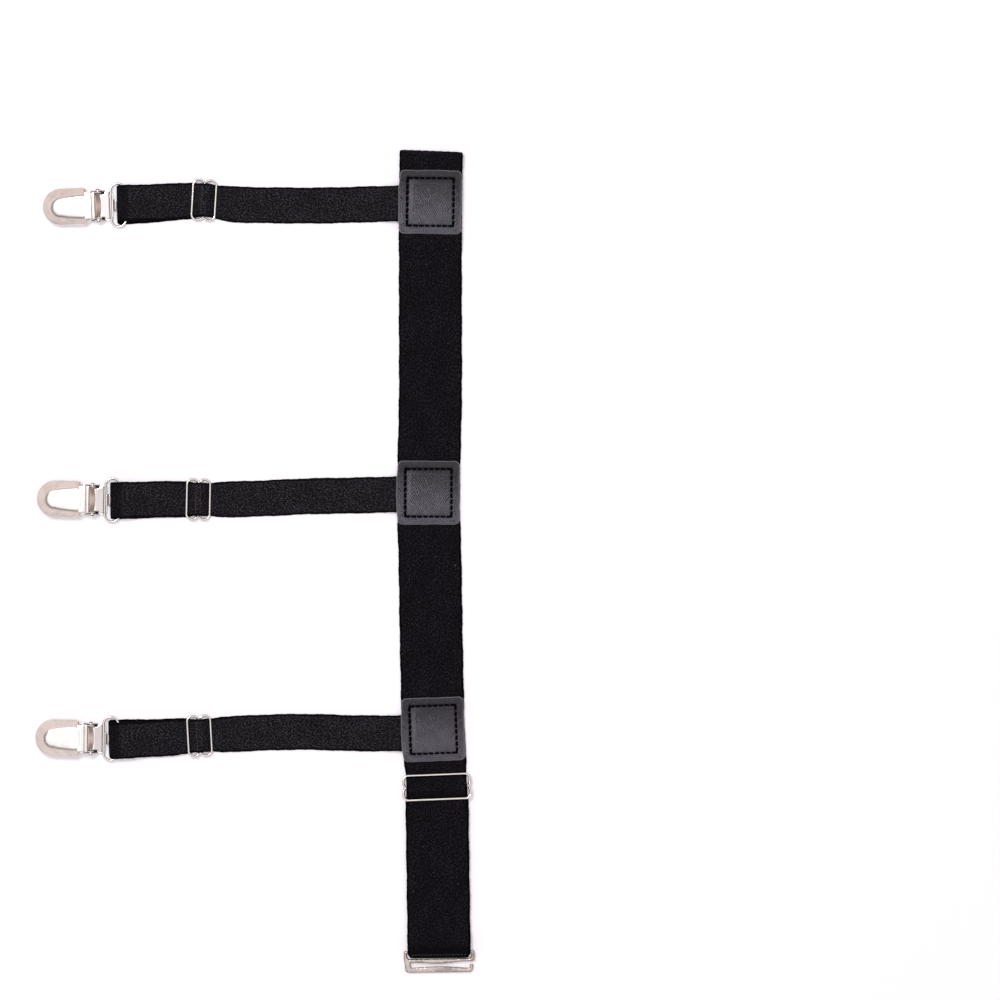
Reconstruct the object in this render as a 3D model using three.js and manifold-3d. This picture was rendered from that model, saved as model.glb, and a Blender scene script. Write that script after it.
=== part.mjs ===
// A leg-worn shirt stay lying flat: an elastic thigh band with a slider and a hook, and three
// elastic straps sewn to it under leather patches, each ending in a ring and a clip.
// Units are millimetres and Z is up. The band runs along -Y and the straps run along -X.
// Each ribbon is drawn in its own frame: u along it, v across it and z up.

import * as THREE from "three";
import { mergeVertices } from "three/addons/utils/BufferGeometryUtils.js";
import Module from "manifold-3d";

const wasm = await Module();
wasm.setup();

// Clearances between pieces that touch
const clothGap = 0.2;
const metalGap = 0.3;
const pinGap = 0.2;

// Thigh band
const bandWidth = 35;
const bandThickness = 1.3;
const bandReach = 448.4;
const pocketGap = 1.2;
const flapTuck = 2.7;
const pocketFade = 14;

// Straps
const strapWidth = 20;
const strapThickness = 1.0;
const strapTail = 13.2;
const strapDrop = 13.5;
const edgeRun = 0.7;
const loopPlay = 1.2;
const loopRise = 18;

// Leather patches, with the stitched square that holds the padding
const patchLength = 34.6;
const patchHeight = 35.4;
const patchThickness = 1.2;
const patchCorner = 3;
const patchInset = 11.3;
const stitchInset = 4.5;
const paddingHeight = 0.8;
const bumpMargin = 1.2;
const bumpSlope = 2.4;
const padColumns = [-0.72, -0.4, 0, 0.4, 0.72];
const padRows = [-0.6, -0.3, 0, 0.3, 0.6];

// Wire sliders
const bandSlider = {
  wire: 1.45,
  barSpacing: 13.6,
  sideGap: 0.25,
  corner: 2.8,
  notch: 0.6,
  climb: 55,
  fall: 45,
};
const strapSlider = {
  wire: 1.3,
  barSpacing: 12.8,
  sideGap: 0.4,
  corner: 3,
  notch: 1.3,
  climb: 50,
  fall: 40,
};
const sliderSqueeze = 0.8;
const notchHalf = 2.75;
const seamTail = 1.5;
const patchToSlider = 14.2;

// Ring between a strap and its clip
const ringWire = 1.3;
const ringSpan = 25.3;
const ringDepth = 8;

// Hook at the end of the band
const hookThickness = 1.6;
const hookBar = 1.6;
const hookSideGap = 0.4;
const hookLeg = 1.8;
const hookHeight = 12.3;
const hookSeat = 0.2;
const hookCornerTuck = 1.2;

// The hook's edge beyond the band's slot, as a run of curves. Each handle is a share of the plate's
// depth there, a share of its half width, and the widths of its leg to add to that.
const hookEdge = [
  [[0.2, 1, 0], [0.2, 1, -1]],
  [[0.2, 0.4, 0], [0.36, 0.3, 0], [0.36, 0, 0]],
  [[0.36, -0.3, 0], [0.27, -0.45, 0], [0.27, -1, 2.4]],
  [[0.27, -1, 2], [0.62, -1, 2], [0.64, -1, 2.6]],
  [[0.6, -0.4, 0], [0.56, -0.3, 0], [0.56, 0, 0]],
  [[0.56, 0.35, 0], [0.66, 0.6, 0], [0.69, 1, -1.9]],
  [[0.66, 1, -1.45], [0.45, 1, -1.5]],
  [[0.36, 1, -1], [0.45, 1, -0.45]],
  [[0.8, 1, -0.3], [1, 1, -1.3]],
  [[1, -1, 1.7]],
  [[1, -1, 0.3], [0.65, -1, 0.3]],
  [[0.3, -1, 0.3], [0, -1, 0]],
];

// Clip: base plate, from the ring's bar toward the tip
const frameWidth = 16.9;
const frameFront = 33.9;
const frameRear = 1.2;
const frameThickness = 0.7;
const frameLift = 0.9;
const frameCorner = 1.5;
const lipHeight = 1.8;
const lipInset = 2.5;
const earThickness = 0.7;
const earRear = 2.4;
const earFront = 11.6;
const earRadius = 2.2;
const earArc = { start: 20, end: 160 };
const beadDepth = 0.4;
const beadWidth = 13.6;
const beadInnerWidth = 7.2;
const beadStart = 7;
const beadInnerEnd = 21.5;
const beadEnd = 32;

// Clip: hinge of the lever
const hingeU = 6.8;
const hingeZ = 4.6;
const pivotRadius = 0.9;
const pivotReach = 9.6;

// Clip: jaw plate with the tongue that holds the ring
const jawThickness = 0.6;
const tongueWidth = 6.5;
const tongueSlotU = 1.7;
const tongueBend = 0.5;
const tongueTip = 3.3;
const tongueFlare = 0.5;
const jawTailEnd = 5.6;
const jawRampEnd = 10;
const jawSideGap = 0.55;

// Clip: grip pad and the eyelet that holds it
const padLength = 8.5;
const padWidth = 15;
const padThickness = 1.7;
const padToLip = 0.7;
const rivetU = 27.3;
const rivetBore = 1.0;
const rivetBarrel = 1.5;
const rivetFlange = 2.35;
const rivetHead = 2.1;
const rivetFlangeThickness = 0.6;
const rivetHeadThickness = 0.5;

// Clip: lever with its domed cap
const capTip = 37.9;
const capRear = 13;
const capWidth = 21;
const capShoulder = 2.5;
const capTop = 8;
const capRim = 1.9;
const capWall = 0.8;
const capRearSquareness = 6;
const capTipSquareness = 2.7;
const capSquareShare = 0.5;
const neckRear = 8.3;
const neckOverlap = 1.5;
const neckThickness = 0.7;
const neckDrop = 0.1;
const flangeThickness = 0.6;
const flangeRadius = 1.9;
const flangeArc = { start: 120, end: -60 };
const webDrop = 2.7;
const ridgeU = 11.2;
const ridgeWidth = 0.8;
const ridgeHeight = 0.3;

// Fineness of the faceted surfaces
const clothStep = 22;
const arcStep = Math.PI / 6;
const curveSteps = 4;
const outlineSteps = 3;
const wireSides = 6;
const holeSides = 14;
const shoulderTurns = [0, 0.35, 1];
const capBodyParts = 3;
const capTipParts = 5;
const capRows = 9;
const tinyLength = 1e-6;
const headingParts = 500;
const quarterTurn = Math.PI / 2;
const degrees = THREE.MathUtils.degToRad;

// The band wanders aside as it lies: place as a share of its reach, aside as a share of its width
const bandDrift = [
  { place: 0, aside: 0 },
  { place: 0.062, aside: -0.014 },
  { place: 0.186, aside: -0.017 },
  { place: 0.309, aside: -0.017 },
  { place: 0.433, aside: -0.047 },
  { place: 0.507, aside: -0.023 },
  { place: 0.606, aside: -0.003 },
  { place: 0.656, aside: 0.011 },
  { place: 0.73, aside: 0.036 },
  { place: 0.76, aside: 0.064 },
  { place: 0.79, aside: 0.086 },
  { place: 0.829, aside: 0.093 },
  { place: 0.928, aside: 0.111 },
  { place: 1, aside: 0.124 },
];

// One row for each strap. Along is the patch's centre on the band and reach the strap's length from
// the band's edge to its fold. Slider is a share of the reach, back from the fold. Ring out is a
// share of the ring's depth; ring aside, lean and drift are shares of the strap's width.
const straps = [
  {
    name: "top",
    along: patchInset + patchHeight / 2,
    reach: 156.5,
    slider: 0.309,
    ringOut: 0.41,
    ringAside: 0.0925,
    rearLean: 0.1,
    clipTurn: 2,
    drift: [
      { place: 0, aside: 0.03 },
      { place: 0.16, aside: 0.05 },
      { place: 0.35, aside: 0.09 },
      { place: 0.5, aside: 0.085 },
      { place: 0.63, aside: 0.055 },
      { place: 0.725, aside: -0.055 },
      { place: 0.85, aside: -0.01 },
      { place: 1, aside: 0.035 },
    ],
  },
  {
    name: "middle",
    along: 0.4242 * bandReach,
    reach: 159,
    slider: 0.3075,
    ringOut: 0.3625,
    ringAside: 0.2,
    rearLean: 0.035,
    clipTurn: -1.3,
    drift: [
      { place: 0, aside: 0.02 },
      { place: 0.23, aside: 0.075 },
      { place: 0.38, aside: 0.1 },
      { place: 0.53, aside: 0.16 },
      { place: 0.665, aside: 0.19 },
      { place: 0.79, aside: 0.175 },
      { place: 1, aside: 0.21 },
    ],
  },
  {
    name: "bottom",
    along: 0.717 * bandReach,
    reach: 162.5,
    slider: 0.31,
    ringOut: 0.3625,
    ringAside: 0.25,
    rearLean: -0.095,
    clipTurn: -0.7,
    drift: [
      { place: 0, aside: 0.08 },
      { place: 0.13, aside: 0.11 },
      { place: 0.24, aside: 0.108 },
      { place: 0.39, aside: 0.07 },
      { place: 0.5, aside: 0.085 },
      { place: 0.65, aside: 0.145 },
      { place: 0.73, aside: 0.18 },
      { place: 0.835, aside: 0.25 },
      { place: 1, aside: 0.33 },
    ],
  },
];

const elastic = new THREE.MeshStandardMaterial({ color: 0x18171b, roughness: 0.9, metalness: 0 });
const leather = new THREE.MeshStandardMaterial({ color: 0x4a4b52, roughness: 0.6, metalness: 0 });
const nickel = new THREE.MeshStandardMaterial({ color: 0xd8d0c9, roughness: 0.25, metalness: 1 });
const plastic = new THREE.MeshStandardMaterial({ color: 0x2b2b2e, roughness: 0.5, metalness: 0 });

// Solids

function signedVolume(positions, index) {
  const a = new THREE.Vector3();
  const b = new THREE.Vector3();
  const c = new THREE.Vector3();
  let volume = 0;
  for (let i = 0; i < index.length; i += 3) {
    a.fromArray(positions, 3 * index[i]);
    b.fromArray(positions, 3 * index[i + 1]);
    c.fromArray(positions, 3 * index[i + 2]);
    volume += a.dot(b.cross(c)) / 6;
  }
  return volume;
}

// A closed geometry as a solid for cutting and joining, with its faces turned outward.
function solid(geometry) {
  const bare = geometry.index ? geometry.toNonIndexed() : geometry.clone();
  bare.deleteAttribute("normal");
  bare.deleteAttribute("uv");
  const merged = mergeVertices(bare, 1e-5);
  const corners = merged.index.array;
  const kept = [];
  for (let i = 0; i < corners.length; i += 3) {
    const [a, b, c] = [corners[i], corners[i + 1], corners[i + 2]];
    if (a !== b && b !== c && c !== a) kept.push(a, b, c);
  }
  const positions = merged.attributes.position.array;
  if (signedVolume(positions, kept) < 0) kept.reverse();
  return new wasm.Manifold(
    new wasm.Mesh({
      numProp: 3,
      vertProperties: new Float32Array(positions),
      triVerts: new Uint32Array(kept),
    }),
  );
}

function join(parts) {
  return parts.reduce((whole, part) => whole.add(part));
}

function namedMesh(name, body, material) {
  const { numProp, vertProperties, triVerts } = body.getMesh();
  const positions = [];
  for (let i = 0; i < vertProperties.length; i += numProp) {
    positions.push(vertProperties[i], vertProperties[i + 1], vertProperties[i + 2]);
  }
  const geometry = new THREE.BufferGeometry();
  geometry.setAttribute("position", new THREE.Float32BufferAttribute(positions, 3));
  geometry.setIndex(Array.from(triVerts));
  geometry.computeVertexNormals();
  const mesh = new THREE.Mesh(geometry, material);
  mesh.name = name;
  return mesh;
}

// A plan outline made thick from z0 up to z1.
function upward(shape, z0, z1) {
  const geometry = new THREE.ExtrudeGeometry(shape, {
    depth: z1 - z0,
    bevelEnabled: false,
    curveSegments: outlineSteps,
  });
  return solid(geometry.translate(0, 0, z0));
}

// A side outline in u and z made wide from v0 to v1.
function across(shape, v0, v1) {
  const geometry = new THREE.ExtrudeGeometry(shape, {
    depth: v1 - v0,
    bevelEnabled: false,
    curveSegments: outlineSteps,
  });
  return solid(geometry.rotateX(quarterTurn).translate(0, v1, 0));
}

function block(u0, u1, v0, v1, z0, z1) {
  const geometry = new THREE.BoxGeometry(u1 - u0, v1 - v0, z1 - z0);
  return solid(geometry.translate((u0 + u1) / 2, (v0 + v1) / 2, (z0 + z1) / 2));
}

function uprightPin(radius, u, z0, z1) {
  const geometry = new THREE.CylinderGeometry(radius, radius, z1 - z0, holeSides);
  return solid(geometry.rotateX(quarterTurn).translate(u, 0, (z0 + z1) / 2));
}

function crossPin(radius, sides, u, z, v0, v1) {
  const geometry = new THREE.CylinderGeometry(radius, radius, v1 - v0, sides);
  return solid(geometry.translate(u, (v0 + v1) / 2, z));
}

// A closed sheet from a grid of points on its upper side and one on its under side.
function sheet(columns, rows, over, under) {
  const positions = [];
  for (const side of [over, under]) {
    for (let i = 0; i < columns; i++) {
      for (let j = 0; j < rows; j++) positions.push(...side(i, j));
    }
  }
  const index = [];
  const face = (a, b, c, d) => index.push(a, b, c, a, c, d);
  const top = (i, j) => i * rows + j;
  const bottom = (i, j) => (columns + i) * rows + j;
  const lastColumn = columns - 1;
  const lastRow = rows - 1;
  for (let i = 0; i < lastColumn; i++) {
    for (let j = 0; j < lastRow; j++) {
      face(top(i, j), top(i + 1, j), top(i + 1, j + 1), top(i, j + 1));
      face(bottom(i, j), bottom(i, j + 1), bottom(i + 1, j + 1), bottom(i + 1, j));
    }
    face(top(i + 1, 0), top(i, 0), bottom(i, 0), bottom(i + 1, 0));
    face(top(i, lastRow), top(i + 1, lastRow), bottom(i + 1, lastRow), bottom(i, lastRow));
  }
  for (let j = 0; j < lastRow; j++) {
    face(top(0, j), top(0, j + 1), bottom(0, j + 1), bottom(0, j));
    face(
      top(lastColumn, j + 1), top(lastColumn, j),
      bottom(lastColumn, j), bottom(lastColumn, j + 1),
    );
  }
  const geometry = new THREE.BufferGeometry();
  geometry.setAttribute("position", new THREE.Float32BufferAttribute(positions, 3));
  geometry.setIndex(index);
  return geometry;
}

// Lines and paths

// The points of a path, with its long lines and its curves divided.
function pathPoints(path, longest) {
  const points = [path.curves[0].getPoint(0)];
  for (const curve of path.curves) {
    const length = curve.getLength();
    let parts = curveSteps;
    if (curve instanceof THREE.LineCurve) parts = Math.max(1, Math.ceil(length / longest));
    if (curve instanceof THREE.EllipseCurve) parts = Math.ceil(length / curve.xRadius / arcStep);
    for (let i = 1; i <= parts; i++) {
      const point = curve.getPoint(i / parts);
      if (point.distanceTo(points[points.length - 1]) > tinyLength) points.push(point);
    }
  }
  return points;
}

// The direction square to a run of points at one of them, longer at a bend so that both sides keep
// their distance from the line.
function squareAt(before, here, after) {
  const arriving = new THREE.Vector2().subVectors(here, before).normalize();
  const leaving = new THREE.Vector2().subVectors(after, here).normalize();
  const middle = new THREE.Vector2().addVectors(arriving, leaving).normalize();
  const square = new THREE.Vector2(-middle.y, middle.x);
  return square.divideScalar(middle.dot(arriving));
}

// A wire bent to a closed flat outline.
function wireLoop(path, wire) {
  const points = pathPoints(path, Infinity);
  if (points[0].distanceTo(points[points.length - 1]) < tinyLength) points.pop();
  const count = points.length;
  const radius = wire / 2;
  const positions = [];
  points.forEach((point, i) => {
    const square = squareAt(points[(i + count - 1) % count], point, points[(i + 1) % count]);
    for (let k = 0; k < wireSides; k++) {
      const angle = (2 * Math.PI * (k + 0.5)) / wireSides;
      const { x, y } = point.clone().addScaledVector(square, radius * Math.cos(angle));
      positions.push(x, y, radius * Math.sin(angle));
    }
  });
  const index = [];
  for (let i = 0; i < count; i++) {
    for (let k = 0; k < wireSides; k++) {
      const a = i * wireSides + k;
      const b = i * wireSides + ((k + 1) % wireSides);
      const c = ((i + 1) % count) * wireSides + ((k + 1) % wireSides);
      const d = ((i + 1) % count) * wireSides + k;
      index.push(a, b, c, a, c, d);
    }
  }
  const geometry = new THREE.BufferGeometry();
  geometry.setAttribute("position", new THREE.Float32BufferAttribute(positions, 3));
  geometry.setIndex(index);
  return solid(geometry);
}

// How a ribbon wanders aside in plan: the place and heading at a distance along it.
function planLine(rows, reach, width) {
  const places = rows.map((row) => row.place * reach);
  const asides = rows.map((row) => row.aside * width);
  const curve = new THREE.CubicInterpolant(places, asides, 1, new Float32Array(1));
  const aside = (u) => curve.evaluate(THREE.MathUtils.clamp(u, 0, reach))[0];
  const probe = reach / headingParts;
  const heading = (u) => Math.atan2(aside(u + probe) - aside(u - probe), 2 * probe);
  return { aside, heading };
}

// A straight geometry bent in plan along the line of its ribbon.
function bendAlong(geometry, line) {
  const positions = geometry.attributes.position;
  for (let i = 0; i < positions.count; i++) {
    const u = positions.getX(i);
    const v = positions.getY(i);
    const heading = line.heading(u);
    positions.setX(i, u - v * Math.sin(heading));
    positions.setY(i, line.aside(u) + v * Math.cos(heading));
  }
  return geometry;
}

// Ribbons

// Where the layers and bars lie at a slider: the near bar holds down one layer, the far bar holds
// down two, and the ribbon's own end wraps the centre bar under the layer that passes over it.
function sliderSeat(slider, thickness) {
  const radius = slider.wire / 2;
  const near = thickness + metalGap + radius;
  const far = near + thickness + clothGap;
  const wrapRadius = radius + metalGap + thickness / 2;
  return {
    bar: (near + far) / 2,
    tilt: Math.asin((far - near) / slider.barSpacing),
    wrapRadius,
    overRadius: wrapRadius + thickness + clothGap,
    low: thickness / 2,
    high: thickness + clothGap + thickness / 2,
    climb: degrees(slider.climb),
    fall: degrees(slider.fall),
  };
}

// Takes the ribbon under the near bar, over the centre bar and under the far bar.
function passThroughSlider(path, at, seat) {
  const { bar, overRadius, wrapRadius, low, high, climb, fall } = seat;
  const stretch = (level, slope) =>
    (Math.cos(slope) * (bar - level - wrapRadius) + overRadius + wrapRadius) / Math.sin(slope);
  const foot = at - stretch(low, climb);
  const landing = at + stretch(high, fall);
  path.absarc(foot, low + wrapRadius, wrapRadius, -quarterTurn, climb - quarterTurn, false);
  path.absarc(at, bar, overRadius, quarterTurn + climb, quarterTurn - fall, true);
  path.absarc(landing, high + wrapRadius, wrapRadius, -quarterTurn - fall, -quarterTurn, false);
}

function smoothTo(path, u, z) {
  const start = path.currentPoint;
  const middle = (start.x + u) / 2;
  path.bezierCurveTo(middle, start.y, middle, z, u, z);
}

// The returning layer of a ribbon: from its fold back under the slider, round the centre bar.
function returnPaths(fold, at, slider, seat) {
  const rear = new THREE.Path();
  rear.moveTo(fold.u, seat.low);
  rear.lineTo(at + slider.barSpacing / 2, seat.low);
  smoothTo(rear, at, seat.bar - seat.wrapRadius);
  const wrap = new THREE.Path();
  wrap.absarc(at, seat.bar, seat.wrapRadius, -quarterTurn, quarterTurn - seat.fall, true);
  const end = wrap.currentPoint;
  wrap.lineTo(end.x + seamTail * Math.cos(seat.fall), end.y - seamTail * Math.sin(seat.fall));
  return { rear, wrap };
}

// The points of a ribbon's mid-line, with its half width and its lean aside at each of them.
function ribbonPoints({ front, fold, rear, wrap, slider, at, width, lean, tuck }) {
  const half = width / 2;
  const wrapHalf = half + slider.sideGap - slider.notch - metalGap;
  const turn = new THREE.Path();
  turn.absarc(fold.u, fold.z, fold.radius, quarterTurn, -quarterTurn, true);
  const points = [];
  const collect = (path, halfAt, leanAt) => {
    for (const { x, y } of pathPoints(path, clothStep)) {
      const last = points[points.length - 1];
      if (last && Math.hypot(last.u - x, last.z - y) < tinyLength) continue;
      points.push({ u: x, z: y, half: halfAt(x, y), lean: leanAt(x, y) });
    }
  };
  const barReach = slider.barSpacing / 2;
  const { clamp, lerp } = THREE.MathUtils;
  const squeezed = (u) => half - sliderSqueeze * clamp(2 - Math.abs(u - at) / barReach, 0, 1);
  const tucked = (u) => half - tuck * (u - fold.u) / fold.radius;
  const narrowed = (u) => lerp(wrapHalf, half, clamp((u - at) / barReach, 0, 1));
  const sinking = (z) => (fold.z + fold.radius - z) / (2 * fold.radius);
  collect(front, squeezed, () => 0);
  collect(turn, tucked, (u, z) => lean * sinking(z));
  collect(rear, narrowed, (u) => lean * (u - at) / (fold.u - at));
  collect(wrap, () => wrapHalf, () => 0);
  return points;
}

// A flat strip that follows its mid-line points.
function ribbon(points, thickness) {
  const line = points.map(({ u, z }) => new THREE.Vector2(u, z));
  const last = line.length - 1;
  const extended = (i) => {
    if (i < 0) return line[0].clone().sub(line[1]).add(line[0]);
    if (i > last) return line[last].clone().sub(line[last - 1]).add(line[last]);
    return line[i];
  };
  const layer = (side) => (i, j) => {
    const square = squareAt(extended(i - 1), line[i], extended(i + 1));
    const { x, y } = line[i].clone().addScaledVector(square, (side * thickness) / 2);
    const { half, lean } = points[i];
    return [x, lean + (j === 0 ? -half : half), y];
  };
  return sheet(line.length, 2, layer(1), layer(-1));
}

// A wire loop with a notch in each side, where the centre bar is joined to it.
function slider(sizes, width, seat) {
  const halfSpacing = sizes.barSpacing / 2;
  const halfSpan = width / 2 + sizes.sideGap + sizes.wire / 2;
  const { corner, notch } = sizes;
  const outline = new THREE.Path();
  outline.moveTo(-halfSpacing, 0);
  for (const side of [1, -1]) {
    const start = side > 0 ? Math.PI : 0;
    const [before, after] = [-side, side].map((end) => end * (halfSpacing - corner));
    const [rise, dip] = [-side, side].map((end) => (end * notchHalf) / 2);
    const outer = side * halfSpan;
    const inner = side * (halfSpan - notch);
    const centre = side * (halfSpan - corner);
    outline.absarc(before, centre, corner, start, start - quarterTurn, true);
    outline.lineTo(2 * rise, outer);
    outline.bezierCurveTo(rise, outer, rise, inner, 0, inner);
    outline.bezierCurveTo(dip, inner, dip, outer, 2 * dip, outer);
    outline.absarc(after, centre, corner, start - quarterTurn, start - 2 * quarterTurn, true);
  }
  outline.lineTo(-halfSpacing, 0);
  const loop = wireLoop(outline, sizes.wire);
  const centreBar = crossPin(sizes.wire / 2, wireSides, 0, 0, notch - halfSpan, halfSpan - notch);
  return loop.add(centreBar).rotate([0, -THREE.MathUtils.radToDeg(seat.tilt), 0]);
}

// Thigh band

const bandLine = planLine(bandDrift, bandReach, bandWidth);
const bandSeat = sliderSeat(bandSlider, bandThickness);
const bandTop = bandThickness;
const doubleBandTop = 2 * bandThickness + clothGap;
const hookFoldRadius = (bandThickness + hookThickness) / 2 + metalGap;
const hookFold = {
  u: bandReach - bandThickness / 2 - hookFoldRadius,
  z: bandThickness / 2 + hookFoldRadius,
  radius: hookFoldRadius,
};
const bandSliderAt = straps[2].along + patchHeight / 2 + patchToSlider;

// The band's upper end is folded under as a pocket and lies double under the top patch.
function bandFront() {
  const pocketRadius = (bandThickness + pocketGap) / 2;
  const pocketTurn = pocketRadius + bandThickness / 2;
  const flapEnd = patchInset + patchHeight - flapTuck;
  const flatStart = patchInset - edgeRun;
  const flatEnd = patchInset + patchHeight + edgeRun;
  const path = new THREE.Path();
  path.moveTo(flapEnd, bandSeat.low);
  path.absarc(pocketTurn, pocketTurn, pocketRadius, -quarterTurn, quarterTurn, true);
  path.lineTo((pocketTurn + flatStart) / 2, pocketTurn + pocketRadius);
  smoothTo(path, flatStart, bandSeat.high);
  path.lineTo(flatEnd, bandSeat.high);
  smoothTo(path, flatEnd + pocketFade, bandSeat.low);
  passThroughSlider(path, bandSliderAt, bandSeat);
  path.lineTo(hookFold.u - loopRise, bandSeat.high);
  smoothTo(path, hookFold.u - hookBar, hookFold.z + hookFold.radius);
  path.lineTo(hookFold.u, hookFold.z + hookFold.radius);
  return path;
}

function thighBand() {
  const points = ribbonPoints({
    front: bandFront(),
    fold: hookFold,
    ...returnPaths(hookFold, bandSliderAt, bandSlider, bandSeat),
    slider: bandSlider,
    at: bandSliderAt,
    width: bandWidth,
    lean: 0,
    tuck: hookCornerTuck,
  });
  return solid(bendAlong(ribbon(points, bandThickness), bandLine));
}

// Hook: a flat plate with a slot for the band and an open slot that the pocket's fold hooks into.

function roundedRectangle(u0, u1, v0, v1, corner) {
  const shape = new THREE.Shape();
  shape.moveTo(u0 + corner, v0);
  shape.absarc(u1 - corner, v0 + corner, corner, -quarterTurn, 0, false);
  shape.absarc(u1 - corner, v1 - corner, corner, 0, quarterTurn, false);
  shape.absarc(u0 + corner, v1 - corner, corner, quarterTurn, 2 * quarterTurn, false);
  shape.absarc(u0 + corner, v0 + corner, corner, 2 * quarterTurn, 3 * quarterTurn, false);
  return shape;
}

const hookAt = hookFold.u - hookBar / 2 - hookSeat;
const hookEnd = hookHeight - hookBar / 2;
const hookTilt = Math.asin((hookFold.z - hookThickness / 2) / hookEnd);

function hookOutline(slotEnd) {
  const slotHalf = bandWidth / 2 + hookSideGap;
  const half = slotHalf + hookLeg;
  const corner = hookLeg / 2;
  const rear = -hookBar / 2;
  const shape = new THREE.Shape();
  shape.moveTo(rear, half - corner);
  shape.absarc(rear + corner, half - corner, corner, 2 * quarterTurn, quarterTurn, true);
  shape.lineTo(slotEnd, half);
  for (const handles of hookEdge) {
    const spots = handles.flatMap(([deep, aside, legs]) => [
      slotEnd + deep * (hookEnd - slotEnd),
      aside * half + legs * hookLeg,
    ]);
    if (handles.length === 1) shape.lineTo(...spots);
    if (handles.length === 2) shape.quadraticCurveTo(...spots);
    if (handles.length === 3) shape.bezierCurveTo(...spots);
  }
  shape.lineTo(rear + corner, -half);
  shape.absarc(rear + corner, corner - half, corner, -quarterTurn, -2 * quarterTurn, true);
  const slot = new THREE.Path();
  slot.moveTo(hookBar / 2, slotHalf);
  slot.lineTo(hookBar / 2, -slotHalf);
  slot.lineTo(slotEnd - hookCornerTuck, -slotHalf);
  slot.lineTo(slotEnd, hookCornerTuck - slotHalf);
  slot.lineTo(slotEnd, slotHalf - hookCornerTuck);
  slot.lineTo(slotEnd - hookCornerTuck, slotHalf);
  shape.holes.push(slot);
  return shape;
}

function bandHook() {
  const slotEnd = (bandReach + metalGap - hookAt) / Math.cos(hookTilt);
  const plate = upward(hookOutline(slotEnd), -hookThickness / 2, hookThickness / 2);
  return plate.rotate([0, THREE.MathUtils.radToDeg(hookTilt), 0]);
}

// Straps

const strapSeat = sliderSeat(strapSlider, strapThickness);
const ringZ = frameLift + frameThickness + metalGap + ringWire / 2;
const strapFoldRadius = (strapThickness + ringWire + loopPlay) / 2;

function strapPlaces(row) {
  const foldEnd = bandWidth / 2 + row.reach;
  return {
    ringBar: foldEnd + row.ringOut * ringDepth,
    sliderAt: foldEnd - row.slider * row.reach,
    line: planLine(row.drift, foldEnd, strapWidth),
    bandTop: row.name === "top" ? doubleBandTop : bandTop,
    fold: {
      u: foldEnd - strapThickness / 2 - strapFoldRadius,
      z: strapThickness / 2 + strapFoldRadius,
      radius: strapFoldRadius,
    },
  };
}

function strapFront(places) {
  const { fold, sliderAt, ringBar } = places;
  const start = places.bandTop + clothGap + strapThickness / 2;
  const foldTop = fold.z + fold.radius;
  const innerBar = ringBar - ringDepth;
  const path = new THREE.Path();
  path.moveTo(-strapTail, start);
  path.lineTo(bandWidth / 2 + edgeRun, start);
  smoothTo(path, bandWidth / 2 + strapDrop, strapSeat.low);
  passThroughSlider(path, sliderAt, strapSeat);
  path.lineTo(innerBar - loopRise, strapSeat.high);
  smoothTo(path, innerBar - ringWire, foldTop);
  path.lineTo(fold.u, foldTop);
  return path;
}

function strap(row, places) {
  const points = ribbonPoints({
    front: strapFront(places),
    fold: places.fold,
    ...returnPaths(places.fold, places.sliderAt, strapSlider, strapSeat),
    slider: strapSlider,
    at: places.sliderAt,
    width: strapWidth,
    lean: row.rearLean * strapWidth,
    tuck: 0,
  });
  return solid(bendAlong(ribbon(points, strapThickness), places.line));
}

// A leather patch that lies over the strap's end, with a padded square inside its stitches.
function patch(row, places) {
  const halfLength = patchLength / 2;
  const halfHeight = patchHeight / 2;
  const aside = row.drift[0].aside * strapWidth;
  const crest = strapWidth / 2 + bumpMargin;
  const foot = crest + bumpSlope;
  const low = places.bandTop + clothGap;
  const lift = strapThickness + clothGap;
  const padHalfLength = halfLength - stitchInset;
  const padHalfHeight = halfHeight - stitchInset;
  const bumpEnd = -strapTail - bumpMargin / 2;
  const bumpStart = bumpEnd - bumpSlope / 2 - bumpMargin / 2;
  const ramp = (from, to, x) => THREE.MathUtils.clamp((x - from) / (to - from), 0, 1);
  const bump = (u, v) =>
    lift * ramp(foot, crest, Math.abs(v - aside)) * ramp(bumpStart, bumpEnd, u);
  const swell = (x, half) => 1 - Math.min(1, Math.abs(x / half)) ** 4;
  const columns = [
    -halfLength, bumpStart, bumpEnd,
    ...padColumns.map((share) => share * padHalfLength),
    padHalfLength, halfLength,
  ];
  const rows = [
    -halfHeight, aside - foot, aside - crest,
    ...padRows.map((share) => share * padHalfHeight),
    aside + crest, aside + foot, halfHeight,
  ];
  const under = (i, j) => [columns[i], rows[j], low + bump(columns[i], rows[j])];
  const over = (i, j) => {
    const [u, v, z] = under(i, j);
    return [u, v, z + patchThickness + paddingHeight * swell(u, padHalfLength) * swell(v, padHalfHeight)];
  };
  const blank = solid(sheet(columns.length, rows.length, over, under));
  const outline = roundedRectangle(-halfLength, halfLength, -halfHeight, halfHeight, patchCorner);
  return blank.intersect(upward(outline, 0, low + lift + patchThickness + 2 * paddingHeight));
}

function ring() {
  const half = (ringSpan - ringWire) / 2;
  const radius = ringDepth / 2;
  const outline = new THREE.Path();
  outline.moveTo(-ringDepth, 0);
  outline.absarc(-radius, half - radius, radius, 2 * quarterTurn, 0, true);
  outline.absarc(-radius, radius - half, radius, 0, -2 * quarterTurn, true);
  outline.lineTo(-ringDepth, 0);
  return wireLoop(outline, ringWire).translate([0, 0, ringZ]);
}

// Clip

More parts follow.
